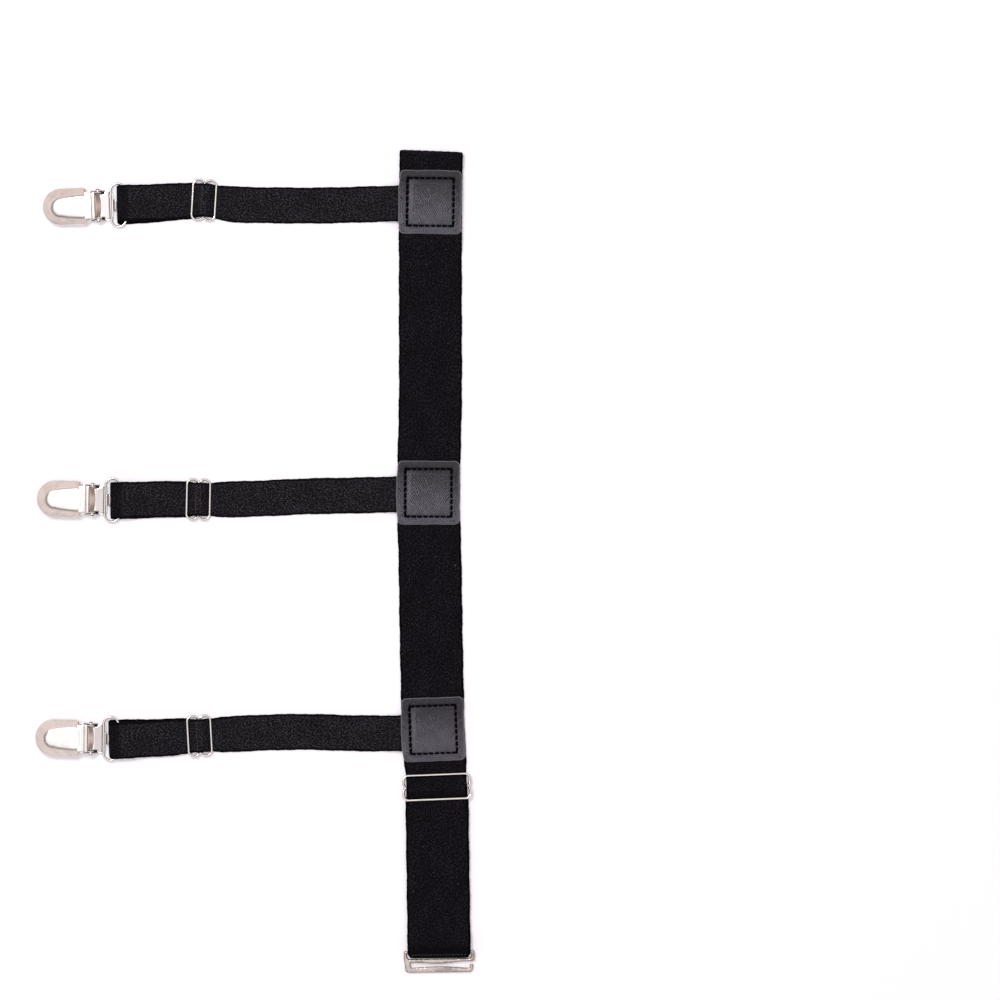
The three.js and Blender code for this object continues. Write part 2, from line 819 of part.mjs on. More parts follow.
const frameTop = frameLift + frameThickness;
const frameHalf = frameWidth / 2;
const earInner = frameHalf - earThickness;
const flangeOuter = earInner - metalGap;
const flangeInner = flangeOuter - flangeThickness;
const jawHalf = flangeInner - jawSideGap;
const jawTailZ = frameTop + metalGap + jawThickness / 2;
const padBottom = frameTop + metalGap;
const padTop = padBottom + padThickness;
const jawZ = padTop + metalGap + jawThickness / 2;
const padFront = frameFront - frameThickness - padToLip;

// The ears stand up from the plate's sides and carry the lever's pivots.
function ear() {
  const shape = new THREE.Shape();
  shape.moveTo(earRear, frameLift);
  shape.lineTo(earFront, frameLift);
  shape.absarc(hingeU, hingeZ, earRadius, degrees(earArc.start), degrees(earArc.end), false);
  shape.lineTo(earRear, frameLift);
  return shape;
}

// The stiffening bead pressed into the underside: two legs and a broad closed end round the eyelet.
function bead() {
  const half = beadWidth / 2;
  const innerHalf = beadInnerWidth / 2;
  const radius = (half - innerHalf) / 2;
  const legEnd = beadStart + radius;
  const frontEnd = beadEnd - radius;
  const shape = new THREE.Shape();
  shape.moveTo(beadInnerEnd, innerHalf);
  shape.absarc(legEnd, innerHalf + radius, radius, 3 * quarterTurn, quarterTurn, true);
  shape.absarc(frontEnd, half - radius, radius, quarterTurn, 0, true);
  shape.absarc(frontEnd, radius - half, radius, 0, -quarterTurn, true);
  shape.absarc(legEnd, -innerHalf - radius, radius, 3 * quarterTurn, quarterTurn, true);
  shape.lineTo(beadInnerEnd, -innerHalf);
  return shape;
}

function clipFrame() {
  const outline = roundedRectangle(-frameRear, frameFront, -frameHalf, frameHalf, frameCorner);
  const slotHalf = tongueWidth / 2 + metalGap;
  const slotReach = jawThickness / 2 + metalGap;
  const lipHalf = frameHalf - lipInset;
  const lipTop = frameTop + lipHeight;
  const plate = upward(outline, frameLift, frameTop);
  const raised = upward(bead(), frameLift - beadDepth, frameTop - frameThickness / 2);
  const lip = block(frameFront - frameThickness, frameFront, -lipHalf, lipHalf, frameLift, lipTop);
  const ears = [-1, 1].map((side) => {
    const inner = side * earInner;
    const outer = side * frameHalf;
    return across(ear(), Math.min(inner, outer), Math.max(inner, outer));
  });
  const holes = [
    block(tongueSlotU - slotReach, tongueSlotU + slotReach, -slotHalf, slotHalf, 0, lipTop),
    crossPin(pivotRadius + pinGap, holeSides, hingeU, hingeZ, -frameWidth, frameWidth),
    uprightPin(rivetBarrel + metalGap, rivetU, 0, lipTop),
    uprightPin(rivetFlange + metalGap, rivetU, 0, frameLift),
  ];
  return join([plate, raised, lip, ...ears]).subtract(join(holes));
}

// The jaw's side line: up the tongue's curled tip, under the plate, up through the slot, along the
// tail, up the ramp and out to the front.
function jawLine() {
  const low = jawThickness / 2 + tongueBend;
  const curlU = -frameRear - metalGap - jawThickness / 2;
  const start = curlU + tongueBend;
  const rise = tongueSlotU - tongueBend;
  const tail = tongueSlotU + tongueBend;
  const path = new THREE.Path();
  path.moveTo(curlU - tongueFlare, tongueTip);
  path.absarc(start, low, tongueBend, 2 * quarterTurn, 3 * quarterTurn, false);
  path.absarc(rise, low, tongueBend, -quarterTurn, 0, false);
  path.absarc(tail, jawTailZ - tongueBend, tongueBend, 2 * quarterTurn, quarterTurn, true);
  path.lineTo(jawTailEnd, jawTailZ);
  smoothTo(path, jawRampEnd, jawZ);
  path.lineTo(frameFront - frameThickness - metalGap, jawZ);
  return path;
}

function clipJaw() {
  const line = pathPoints(jawLine(), Infinity);
  const halfAt = (point) => {
    if (point.y < jawTailZ - tinyLength || point.x < tongueSlotU) return tongueWidth / 2;
    return jawHalf;
  };
  const points = line.map((point) => ({ u: point.x, z: point.y, half: halfAt(point), lean: 0 }));
  const strip = solid(ribbon(points, jawThickness));
  const half = jawThickness / 2;
  const tailStart = tongueSlotU + tongueBend;
  const tail = block(tailStart, jawTailEnd, -flangeOuter, flangeOuter, jawTailZ - half, jawTailZ + half);
  return strip.add(tail);
}

function clipPad() {
  const half = padWidth / 2;
  const above = padTop + padThickness;
  const body = block(padFront - padLength, padFront, -half, half, padBottom, padTop);
  const bore = uprightPin(rivetBarrel + metalGap, rivetU, 0, above);
  const well = uprightPin(rivetHead + metalGap, rivetU, padBottom + metalGap, above);
  return body.subtract(bore.add(well));
}

function clipRivet() {
  const headBottom = padBottom + 2 * metalGap;
  const headTop = headBottom + rivetHeadThickness;
  const profile = [
    [rivetBore, 0],
    [rivetFlange, 0],
    [rivetFlange, rivetFlangeThickness],
    [rivetBarrel, rivetFlangeThickness],
    [rivetBarrel, headBottom],
    [rivetHead, headBottom],
    [rivetHead, headTop],
    [rivetBore, headTop],
    [rivetBore, 0],
  ];
  const line = profile.map(([radius, z]) => new THREE.Vector2(radius, z));
  const geometry = new THREE.LatheGeometry(line, holeSides);
  return solid(geometry.rotateX(quarterTurn).translate(rivetU, 0, 0));
}

// The cap's shell is a rounded dome over a round-ended plan. It is squarer where it meets the neck.
function capShell() {
  const radius = capWidth / 2;
  const tipCentre = capTip - radius;
  const shoulderEnd = capRear + capShoulder;
  const { lerp, clamp } = THREE.MathUtils;
  const stations = [];
  for (const turn of shoulderTurns) {
    const angle = turn * quarterTurn;
    const short = capShoulder * (1 - Math.sin(angle));
    stations.push({ u: shoulderEnd - capShoulder * Math.cos(angle), short, bend: 0 });
  }
  for (let i = 1; i <= capBodyParts; i++) {
    stations.push({ u: lerp(shoulderEnd, tipCentre, i / capBodyParts), short: 0, bend: 0 });
  }
  for (let i = 1; i <= capTipParts; i++) {
    stations.push({ u: tipCentre, short: 0, bend: (i / capTipParts) * quarterTurn });
  }
  const surface = (inset) => (i, j) => {
    const { u, short, bend } = stations[i];
    const size = radius - inset;
    const width = (size - short) * Math.cos(bend);
    const ahead = size * Math.sin(bend);
    const spread = Math.sin((2 * j / (capRows - 1) - 1) * quarterTurn);
    const v = width * spread;
    const reach = Math.min(1, bend > 0 ? Math.hypot(ahead, v) / size : Math.abs(spread));
    const past = (u - capRear) / (tipCentre - capRear);
    const tipShare = clamp(past / capSquareShare, 0, 1);
    const square = lerp(capRearSquareness, capTipSquareness, tipShare);
    const height = (capTop - capRim - inset) * (1 - reach ** square) ** (1 / square);
    return [u + ahead, v, capRim + height];
  };
  return solid(sheet(stations.length, capRows, surface(0), surface(capWall)));
}

const neckTop = capTop - neckDrop;
const neckBottom = neckTop - neckThickness;

function leverFlange() {
  const neckMiddle = neckBottom + neckThickness / 2;
  const shape = new THREE.Shape();
  shape.absarc(hingeU, hingeZ, flangeRadius, degrees(flangeArc.start), degrees(flangeArc.end), false);
  shape.lineTo(capRear - neckThickness, hingeZ);
  shape.lineTo(capRear + neckOverlap / 2, neckMiddle);
  shape.lineTo(neckRear, neckMiddle);
  return shape;
}

function clipLever() {
  const slab = (u0, u1, z0, z1) => block(u0, u1, -flangeOuter, flangeOuter, z0, z1);
  const ridgeHalf = ridgeWidth / 2;
  const neck = slab(neckRear, capRear + neckOverlap, neckBottom, neckTop);
  const web = slab(neckRear, neckRear + neckThickness, neckBottom - webDrop, neckTop);
  const ridge = slab(ridgeU - ridgeHalf, ridgeU + ridgeHalf, neckBottom, neckTop + ridgeHeight);
  const sides = [-1, 1].flatMap((side) => {
    const inner = side * flangeInner;
    const outer = side * flangeOuter;
    const reach = side * pivotReach;
    const [pinStart, pinEnd] = [Math.min(inner, reach), Math.max(inner, reach)];
    return [
      across(leverFlange(), Math.min(inner, outer), Math.max(inner, outer)),
      crossPin(pivotRadius, holeSides, hingeU, hingeZ, pinStart, pinEnd),
    ];
  });
  return join([capShell(), neck, web, ridge, ...sides]);
}

// Assembly

const shirtStay = new THREE.Group();

function placedGroup(parent, u, v, turn) {
  const group = new THREE.Group();
  group.position.set(u, v, 0);
  group.rotation.z = turn;
  parent.add(group);
  return group;
}

const band = placedGroup(shirtStay, 0, 0, -quarterTurn);
band.add(namedMesh("thigh_band", thighBand(), elastic));

const bandSliderMesh = namedMesh("band_slider", slider(bandSlider, bandWidth, bandSeat), nickel);
bandSliderMesh.position.set(bandSliderAt, bandLine.aside(bandSliderAt), bandSeat.bar);
bandSliderMesh.rotation.z = bandLine.heading(bandSliderAt);
band.add(bandSliderMesh);

const hookMesh = namedMesh("band_hook", bandHook(), nickel);
hookMesh.position.set(hookAt, bandLine.aside(hookAt), hookFold.z);
hookMesh.rotation.z = bandLine.heading(hookAt);
band.add(hookMesh);

for (const row of straps) {
  const places = strapPlaces(row);
  const onBand = placedGroup(band, row.along, bandLine.aside(row.along), -quarterTurn);

  const patchMesh = namedMesh(`${row.name}_patch`, patch(row, places), leather);
  patchMesh.rotation.z = bandLine.heading(row.along);
  onBand.add(patchMesh);

  onBand.add(namedMesh(`${row.name}_strap`, strap(row, places), elastic));

  const sliderMesh = namedMesh(`${row.name}_slider`, slider(strapSlider, strapWidth, strapSeat), nickel);
  sliderMesh.position.set(places.sliderAt, places.line.aside(places.sliderAt), strapSeat.bar);
  sliderMesh.rotation.z = places.line.heading(places.sliderAt);
  onBand.add(sliderMesh);

  const turn = degrees(row.clipTurn);
  const clip = placedGroup(onBand, places.ringBar, row.ringAside * strapWidth, turn);
  clip.add(namedMesh(`${row.name}_ring`, ring(), nickel));
  clip.add(namedMesh(`${row.name}_clip_frame`, clipFrame(), nickel));
  clip.add(namedMesh(`${row.name}_clip_jaw`, clipJaw(), nickel));
  clip.add(namedMesh(`${row.name}_clip_pad`, clipPad(), plastic));
  clip.add(namedMesh(`${row.name}_clip_rivet`, clipRivet(), nickel));
  clip.add(namedMesh(`${row.name}_clip_lever`, clipLever(), nickel));
}

// The origin is on the resting surface under the middle of the whole.
const extent = new THREE.Box3().setFromObject(shirtStay);
const middle = extent.getCenter(new THREE.Vector3());
band.position.set(-middle.x, -middle.y, -extent.min.z);

export default shirtStay;
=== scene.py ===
# A leg-worn shirt stay lying flat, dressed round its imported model.
# Shapes are worked out in millimetres, in each ribbon's own frame: u along it, v across it, z up.

import cmath
import math

import bmesh
import bpy
import numpy as np
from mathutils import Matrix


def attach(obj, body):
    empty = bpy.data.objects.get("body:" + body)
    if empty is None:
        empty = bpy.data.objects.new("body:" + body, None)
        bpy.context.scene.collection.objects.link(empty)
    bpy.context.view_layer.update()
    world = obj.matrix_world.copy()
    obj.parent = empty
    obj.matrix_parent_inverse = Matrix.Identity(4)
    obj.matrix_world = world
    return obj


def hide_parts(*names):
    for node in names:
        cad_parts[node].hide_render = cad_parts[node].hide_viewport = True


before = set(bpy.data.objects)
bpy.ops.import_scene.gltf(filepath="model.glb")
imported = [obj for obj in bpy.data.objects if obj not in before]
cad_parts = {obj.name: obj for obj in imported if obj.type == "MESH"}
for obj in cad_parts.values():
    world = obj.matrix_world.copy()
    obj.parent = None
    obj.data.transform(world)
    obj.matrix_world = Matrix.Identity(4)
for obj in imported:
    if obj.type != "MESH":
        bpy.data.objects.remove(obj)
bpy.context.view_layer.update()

MM = 0.001
QUARTER = math.pi / 2

# Clearances between pieces that touch
CLOTH_GAP = 0.2
METAL_GAP = 0.3

# Webbing: its ribs, its weft, and where its smooth edge ends and its weave is full
RIB_PITCH = 0.9
WEFT_PITCH = 0.62
SELVEDGE = (0.75, 1.35)

# Thigh band
BAND_START = (97.881, 228.300)
BAND_WIDTH = 35
BAND_THICKNESS = 1.3
BAND_REACH = 448.4
POCKET_GAP = 1.2
FLAP_TUCK = 2.7
POCKET_FADE = 14

# Straps
STRAP_WIDTH = 20
STRAP_THICKNESS = 1.0
STRAP_TAIL = 13.2
STRAP_DROP = 13.5
EDGE_RUN = 0.7
LOOP_PLAY = 1.2
LOOP_RISE = 18
SEAM_TAIL = 1.5
SLIDER_SQUEEZE = 0.8

# Patches
PATCH_LENGTH = 34.6
PATCH_HEIGHT = 35.4
PATCH_THICKNESS = 1.2
PATCH_CORNER = 3
PATCH_INSET = 11.3
PATCH_TO_SLIDER = 14.2
STITCH_INSET = 4.5
PADDING_HEIGHT = 0.8
BUMP_MARGIN = 1.2
BUMP_SLOPE = 2.4
PATCH_BULGE = 0.5

# Wire sliders
BAND_SLIDER = dict(wire=1.45, spacing=13.6, side_gap=0.25, corner=2.8, notch=0.6, climb=55, fall=45)
STRAP_SLIDER = dict(wire=1.3, spacing=12.8, side_gap=0.4, corner=3, notch=1.3, climb=50, fall=40)
NOTCH_HALF = 2.75

# Rings
RING_WIRE = 1.3
RING_SPAN = 25.3
RING_DEPTH = 8

# Hook
HOOK_THICKNESS = 1.6
HOOK_BAR = 1.6
HOOK_SIDE_GAP = 0.4
HOOK_LEG = 1.8
HOOK_HEIGHT = 12.3
HOOK_SEAT = 0.2
HOOK_CORNER_TUCK = 1.2

# Clip, from the ring's bar toward the tip
FRAME_WIDTH = 16.9
FRAME_FRONT = 33.9
FRAME_REAR = 1.2
FRAME_THICKNESS = 0.7
FRAME_LIFT = 0.9
FRAME_CORNER = 1.5
LIP_HEIGHT = 1.8
LIP_INSET = 2.5
BEAD_REAR = 7
BEAD_FRONT = 32
BEAD_LEGS_FRONT = 21.5
BEAD_HALF = 6.8
BEAD_INNER_HALF = 3.6
BEAD_CORNER = 2.6
BEAD_THICKNESS = 0.75
EAR_THICKNESS = 0.7
EAR_REAR = 2.4
EAR_FRONT = 11.6
EAR_RADIUS = 2.2
HINGE_U = 6.8
HINGE_Z = 4.6
PIVOT_RADIUS = 0.9
PIVOT_REACH = 9.6
FLANGE_THICKNESS = 0.6
FLANGE_RADIUS = 1.9
FLANGE_ARC = (math.radians(120), math.radians(300))
JAW_THICKNESS = 0.6
JAW_REAR_HALF = 6.5
JAW_SIDE_GAP = 0.55
PAD_LENGTH = 8.5
PAD_HALF = 7.5
PAD_HEIGHT = 1.7
PAD_RIB = 0.2
PAD_MARGIN = 0.6
TONGUE_WIDTH = 6.5
TONGUE_LIP = 1.4
TONGUE_SLOT_U = 1.7
TONGUE_TIP = 3.3
RIVET_U = 27.3
RIVET_HOLE = 1.8
CAP_TIP = 37.9
CAP_REAR = 13
CAP_WIDTH = 21
CAP_SHOULDER = 2.5
CAP_TOP = 8
CAP_RIM = 1.9
CAP_WALL = 0.8
CAP_CREASE = 0.55
CAP_SLOPE = 0.517
CAP_ROOF = (0.18, 0.42)
CAP_EAVE = (0.93, 0.95)
NECK_REAR = 8.3
NECK_FRONT = 14.5
NECK_THICKNESS = 0.55
FLANGE_TOP = 7.4

# Stage, in metres
VIEW_WIDTH = 0.555
VIEW_CENTRE = (0.13595, 0.03405)
CAMERA_HEIGHT = 3.6
CAMERA_SENSOR = 36
FLOOR_HALF = 4.0
FLOOR_Z = -0.0002

# The band's wander aside: share of its reach, share of its width
BAND_DRIFT = [
    (0, 0), (0.062, -0.014), (0.186, -0.017), (0.309, -0.017), (0.433, -0.047), (0.507, -0.023),
    (0.606, -0.003), (0.656, 0.011), (0.73, 0.036), (0.76, 0.064), (0.79, 0.086), (0.829, 0.093),
    (0.928, 0.111), (1, 0.124),
]

# One row for each strap, with its wander aside as for the band
STRAPS = [
    dict(
        name="top", along=PATCH_INSET + PATCH_HEIGHT / 2, reach=156.5, slider=0.309,
        ring_out=0.41, ring_aside=0.0925, rear_lean=0.1, clip_turn=2, patch_turn=-0.3,
        drift=[(0, 0.03), (0.16, 0.05), (0.35, 0.09), (0.5, 0.085), (0.63, 0.055),
               (0.725, -0.055), (0.85, -0.01), (1, 0.035)],
    ),
    dict(
        name="middle", along=0.4242 * BAND_REACH, reach=159, slider=0.3075,
        ring_out=0.3625, ring_aside=0.2, rear_lean=0.035, clip_turn=-1.3, patch_turn=0,
        drift=[(0, 0.02), (0.23, 0.075), (0.38, 0.1), (0.53, 0.16), (0.665, 0.19),
               (0.79, 0.175), (1, 0.21)],
    ),
    dict(
        name="bottom", along=0.717 * BAND_REACH, reach=162.5, slider=0.31,
        ring_out=0.3625, ring_aside=0.25, rear_lean=-0.095, clip_turn=-0.7, patch_turn=0,
        drift=[(0, 0.08), (0.13, 0.11), (0.24, 0.108), (0.39, 0.07), (0.5, 0.085),
               (0.65, 0.145), (0.73, 0.18), (0.835, 0.25), (1, 0.33)],
    ),
]


# Numbers


def smooth(x, start, end):
    """0 before start, 1 after end and a soft rise between them."""
    t = np.clip((np.asarray(x, float) - start) / (end - start), 0, 1)
    return t * t * (3 - 2 * t)


def wander(x, *waves):
    """An uneven line from waves of (length, size, shift)."""
    return sum(size * np.sin(2 * np.pi * x / length + shift) for length, size, shift in waves)


def mix(a, b, share):
    return a + (b - a) * share


# Frames and lines


class Place:
    """A flat frame in the plan, by its origin and heading."""

    def __init__(self, origin, heading):
        self.origin = origin
        self.heading = heading

    def inside(self, u, v, turn):
        return Place(self.origin + complex(u, v) * cmath.rect(1, self.heading), self.heading + turn)

    def on_ribbon(self, drift, u):
        return self.inside(u, float(drift.aside(u)), float(drift.heading(u)))

    def world(self, points):
        """Points of this frame in the row frame, in metres."""
        flat = (points[:, 0] + 1j * points[:, 1]) * cmath.rect(1, self.heading) + self.origin
        return np.column_stack([flat.real, flat.imag, points[:, 2]]) * MM


class Drift:
    """How a ribbon wanders aside as it lies."""

    def __init__(self, rows, reach, width):
        self.x = np.array([place for place, _ in rows]) * reach
        self.y = np.array([aside for _, aside in rows]) * width
        self.reach = reach

    def aside(self, u):
        """A smooth line through the rows, with straight ends."""
        x, y = self.x, self.y
        t = np.clip(np.asarray(u, float), 0, self.reach)
        i = np.clip(np.searchsorted(x, t, side="right"), 1, len(x) - 1)
        before = np.where(i > 1, i - 2, i)
        after = np.where(i < len(x) - 1, i + 1, i - 1)
        half = (x[i] - x[i - 1]) / 2
        lead = half / (x[i - 1] - x[before])
        follow = half / (x[np.minimum(after, len(x) - 1)] - x[i])
        p = (t - x[i - 1]) / (x[i] - x[i - 1])
        share_before = -lead * p**3 + 2 * lead * p**2 - lead * p
        share_start = (1 + lead) * p**3 - (1.5 + 2 * lead) * p**2 + (lead - 0.5) * p + 1
        share_end = -(1 + follow) * p**3 + (1.5 + follow) * p**2 + 0.5 * p
        share_after = follow * p**3 - follow * p**2
        return (share_before * y[before] + share_start * y[i - 1]
                + share_end * y[i] + share_after * y[after])

    def heading(self, u):
        probe = self.reach / 500
        return np.arctan2(self.aside(u + probe) - self.aside(u - probe), 2 * probe)

    def bend(self, points):
        """Points of the straight ribbon, moved to where it lies."""
        u, v, z = points.T
        turn = self.heading(u)
        return np.column_stack([u - v * np.sin(turn), self.aside(u) + v * np.cos(turn), z])


class Path:
    """A flat line of points, drawn with straight runs, arcs and curves."""

    def __init__(self, x, y, step):
        self.points = [complex(x, y)]
        self.step = step

    def run(self, at, length):
        parts = max(1, math.ceil(length / self.step))
        self.points += [at(i / parts) for i in range(1, parts + 1)]

    def line(self, x, y):
        start, end = self.points[-1], complex(x, y)
        if abs(end - start) > 1e-6:
            self.run(lambda t: mix(start, end, t), abs(end - start))

    def arc(self, x, y, radius, start, end):
        centre = complex(x, y)
        first = centre + cmath.rect(radius, start)
        self.line(first.real, first.imag)
        finer = 4 * radius * abs(end - start)
        self.run(lambda t: centre + cmath.rect(radius, mix(start, end, t)), finer)

    def curve(self, *handles):
        spots = [self.points[-1]] + [complex(*handle) for handle in handles]

        def at(t):
            left = spots
            while len(left) > 1:
                left = [mix(a, b, t) for a, b in zip(left, left[1:])]
            return left[0]

        self.run(at, 2 * sum(abs(b - a) for a, b in zip(spots, spots[1:])))

    def ease(self, x, y):
        start = self.points[-1]
        middle = (start.real + x) / 2
        self.curve((middle, start.imag), (middle, y), (x, y))

    def outline(self):
        """The points as rows of x and y, without a doubled end."""
        kept = self.points
        if abs(kept[0] - kept[-1]) < 1e-6:
            kept = kept[:-1]
        return np.array([(p.real, p.imag) for p in kept])


# Shapes: a pair of points and faces


def grid_faces(rows, columns, ring=False, loop=False):
    """The quads of a grid of points. With ring the columns close, and with loop the rows do."""
    faces = []
    for i in range(rows if loop else rows - 1):
        low, high = i * columns, (i + 1) % rows * columns
        for j in range(columns if ring else columns - 1):
            k = (j + 1) % columns
            faces.append((low + j, low + k, high + k, high + j))
    return faces


def joined(*shapes):
    points, faces, count = [], [], 0
    for some, theirs in shapes:
        points.append(some)
        faces += [tuple(i + count for i in face) for face in theirs]
        count += len(some)
    return np.concatenate(points), faces


def closed_sheet(over, under, folded=False):
    """A closed sheet between two grids of points. With folded, the last row meets itself."""
    rows, columns = over.shape[:2]
    count = rows * columns
    top = grid_faces(rows, columns)
    faces = top + [tuple(i + count for i in face[::-1]) for face in top]
    edge = [(i, 0) for i in range(rows)] + [(rows - 1, j) for j in range(1, columns)]
    edge += [(i, columns - 1) for i in range(rows - 2, -1, -1)]
    edge += [(0, j) for j in range(columns - 2, 0, -1)]
    ring = [i * columns + j for i, j in edge]
    for a, b in zip(ring, ring[1:] + ring[:1]):
        if not (folded and min(a, b) >= count - columns):
            faces.append((b, a, a + count, b + count))
    return np.concatenate([over.reshape(-1, 3), under.reshape(-1, 3)]), faces


def shell(middle, thickness):
    """A sheet of even thickness about a grid of points, with its edges rounded."""
    rows, columns = middle.shape[:2]
    normal = np.cross(np.gradient(middle, axis=0), np.gradient(middle, axis=1))
    normal /= np.maximum(np.linalg.norm(normal, axis=2, keepdims=True), 1e-9)
    share = np.ones((rows, columns, 1))
    share[[0, -1], :] = share[:, [0, -1]] = 0.45
    offset = normal * thickness / 2 * share
    return closed_sheet(middle + offset, middle - offset)


def swept(line, half, across):
    """A grid of points: a line in u and z, spread aside to its half width at each point."""
    return np.stack(np.broadcast_arrays(line[:, :1], half[:, None] * across, line[:, 1:]), axis=2)


def edged(start, end, parts, edge=0.15):
    """Even steps with one more close to each end, for a rounded edge."""
    return np.array([start, *np.linspace(start + edge, end - edge, parts), end])


def tube(points, radius, sides=14, loop=False, lobes=0, twist=0.0):
    """A round wire or thread along points. Lobes and twist give a thread its plies."""
    points = np.asarray(points, float)
    if loop:
        along = np.roll(points, -1, axis=0) - np.roll(points, 1, axis=0)
    else:
        along = np.gradient(points, axis=0)
    along /= np.linalg.norm(along, axis=1, keepdims=True)
    side = np.cross(along, (0, 0, 1))
    side /= np.linalg.norm(side, axis=1, keepdims=True)
    up = np.cross(side, along)
    angle = 2 * np.pi * np.arange(sides) / sides
    reach = np.broadcast_to(np.asarray(radius, float), len(points))[:, None] * np.ones(sides)
    if lobes:
        turn = twist * np.arange(len(points))[:, None]
        reach = reach * (1 + 0.16 * np.cos(lobes * angle + turn))
    ring = (points[:, None] + (reach * np.cos(angle))[..., None] * side[:, None]
            + (reach * np.sin(angle))[..., None] * up[:, None])
    faces = grid_faces(len(points), sides, ring=True, loop=loop)
    if not loop:
        last = (len(points) - 1) * sides
        faces += [tuple(range(sides))[::-1], tuple(range(last, last + sides))]
    return ring.reshape(-1, 3), faces


def turned(profile, sides=40):
    """A closed profile of radius and height turned about the upright axis."""
    angle = 2 * np.pi * np.arange(sides) / sides
    radius, z = np.asarray(profile, float).T
    ring = np.stack([
        radius[:, None] * np.cos(angle),
        radius[:, None] * np.sin(angle),
        z[:, None] * np.ones(sides),
    ], axis=2)
    return ring.reshape(-1, 3), grid_faces(len(profile), sides, ring=True, loop=True)


def plate(outlines, thickness, bevel):
    """A flat plate with rounded edges about z = 0. Outlines inside the first one are holes."""
    curve = bpy.data.curves.new("outline", "CURVE")
    curve.dimensions = "2D"
    curve.fill_mode = "BOTH"
    curve.extrude = thickness / 2 - bevel
    curve.bevel_depth = bevel
    curve.bevel_resolution = 2
    curve.offset = -bevel
    for points in outlines:
        spline = curve.splines.new("POLY")
        spline.points.add(len(points) - 1)
        spline.points.foreach_set("co", [c for x, y in points for c in (x, y, 0, 1)])
        spline.use_cyclic_u = True
    holder = bpy.data.objects.new("outline", curve)
    mesh = bpy.data.meshes.new_from_object(holder)
    shape = np.array([v.co[:] for v in mesh.vertices]), [tuple(p.vertices) for p in mesh.polygons]
    bpy.data.objects.remove(holder)
    bpy.data.curves.remove(curve)
    bpy.data.meshes.remove(mesh)
    return shape


def moved(shape, u=0.0, v=0.0, z=0.0):
    return shape[0] + (u, v, z), shape[1]


def stood(shape, v):
    """A plate drawn flat, stood up so that its y becomes z, with its middle at v."""
    x, y, z = shape[0].T
    return np.column_stack([x, v + z, y]), shape[1]


def tilted(shape, turn):
    """A shape turned about v, its far end down."""
    x, y, z = shape[0].T
    return np.column_stack([
        x * math.cos(turn) + z * math.sin(turn), y, z * math.cos(turn) - x * math.sin(turn)
    ]), shape[1]


def rounded_box(u0, u1, v0, v1, corner, step=0.5):
    path = Path(u0 + corner, v0, step)
    path.arc(u1 - corner, v0 + corner, corner, -QUARTER, 0)
    path.arc(u1 - corner, v1 - corner, corner, 0, QUARTER)
    path.arc(u0 + corner, v1 - corner, corner, QUARTER, 2 * QUARTER)
    path.arc(u0 + corner, v0 + corner, corner, 2 * QUARTER, 3 * QUARTER)
    return path.outline()


def circle(u, v, radius, sides=40):
    angle = 2 * np.pi * np.arange(sides) / sides
    return np.column_stack([u + radius * np.cos(angle), v + radius * np.sin(angle)])


# Pieces


def placed(name, data=None):
    """A new object in the scene."""
    obj = bpy.data.objects.new(name, data)
    bpy.context.scene.collection.objects.link(obj)
    return obj


def piece(name, shape, place, material, slot, body="root", line=None, marks=None, flat=False):
    """A named mesh in the row frame that rides on a body. Marks are values kept at its points."""
    points, faces = shape
    if line:
        points = line.bend(points)
    mesh = bpy.data.meshes.new(name)
    mesh.from_pydata(place.world(points).tolist(), [], faces)
    for mark, values in (marks or {}).items():
        kept = mesh.attributes.new(mark, "FLOAT_VECTOR", "POINT")
        kept.data.foreach_set("vector", np.asarray(values, np.float32).ravel())
    work = bmesh.new()
    work.from_mesh(mesh)
    bmesh.ops.remove_doubles(work, verts=work.verts, dist=1e-7)
    bmesh.ops.recalc_face_normals(work, faces=work.faces)
    work.to_mesh(mesh)
    work.free()
    mesh.shade_smooth()
    obj = placed(name, mesh)
    mesh.materials.append(material)
    if flat:
        modifier = obj.modifiers.new("flat faces", "WEIGHTED_NORMAL")
        modifier.weight = 100
    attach(obj, body)
    return obj


# Materials


class Value:
    """A node's output, for use in sums and patterns."""

    def __init__(self, surface, socket):
        self.surface = surface
        self.socket = socket

    def math(self, operation, *others):
        return self.surface.node("ShaderNodeMath", dict(enumerate((self, *others))), operation=operation)

    def __add__(self, other):
        return self.math("ADD", other)

    def __sub__(self, other):
        return self.math("SUBTRACT", other)

    def __mul__(self, other):
        return self.math("MULTIPLY", other)

    def __abs__(self):
        return self.math("ABSOLUTE")

    def axis(self, name):
        return self.surface.node("ShaderNodeSeparateXYZ", {"Vector": self}, name)

    def stretched(self, shares, turn=0.0):
        inputs = {"Vector": self, "Scale": shares, "Rotation": (0, 0, turn)}
        return self.surface.node("ShaderNodeMapping", inputs)

    def noise(self, scale, detail=3.0, roughness=0.6, distortion=0.0):
        inputs = {"Vector": self, "Scale": scale, "Detail": detail, "Roughness": roughness,
                  "Distortion": distortion}
        return self.surface.node("ShaderNodeTexNoise", inputs, "Fac")

    def spread(self, low, high, to_low=0.0, to_high=1.0):
        """A soft step from one number to another between low and high."""
        inputs = {"Value": self, "From Min": low, "From Max": high, "To Min": to_low, "To Max": to_high}
        return self.surface.node("ShaderNodeMapRange", inputs, interpolation_type="SMOOTHSTEP")

    def blend(self, a, b):
        """The colour a where this is 0 and b where it is 1."""
        return self.surface.node("ShaderNodeMix", {0: self, 6: a, 7: b}, 2, data_type="RGBA")


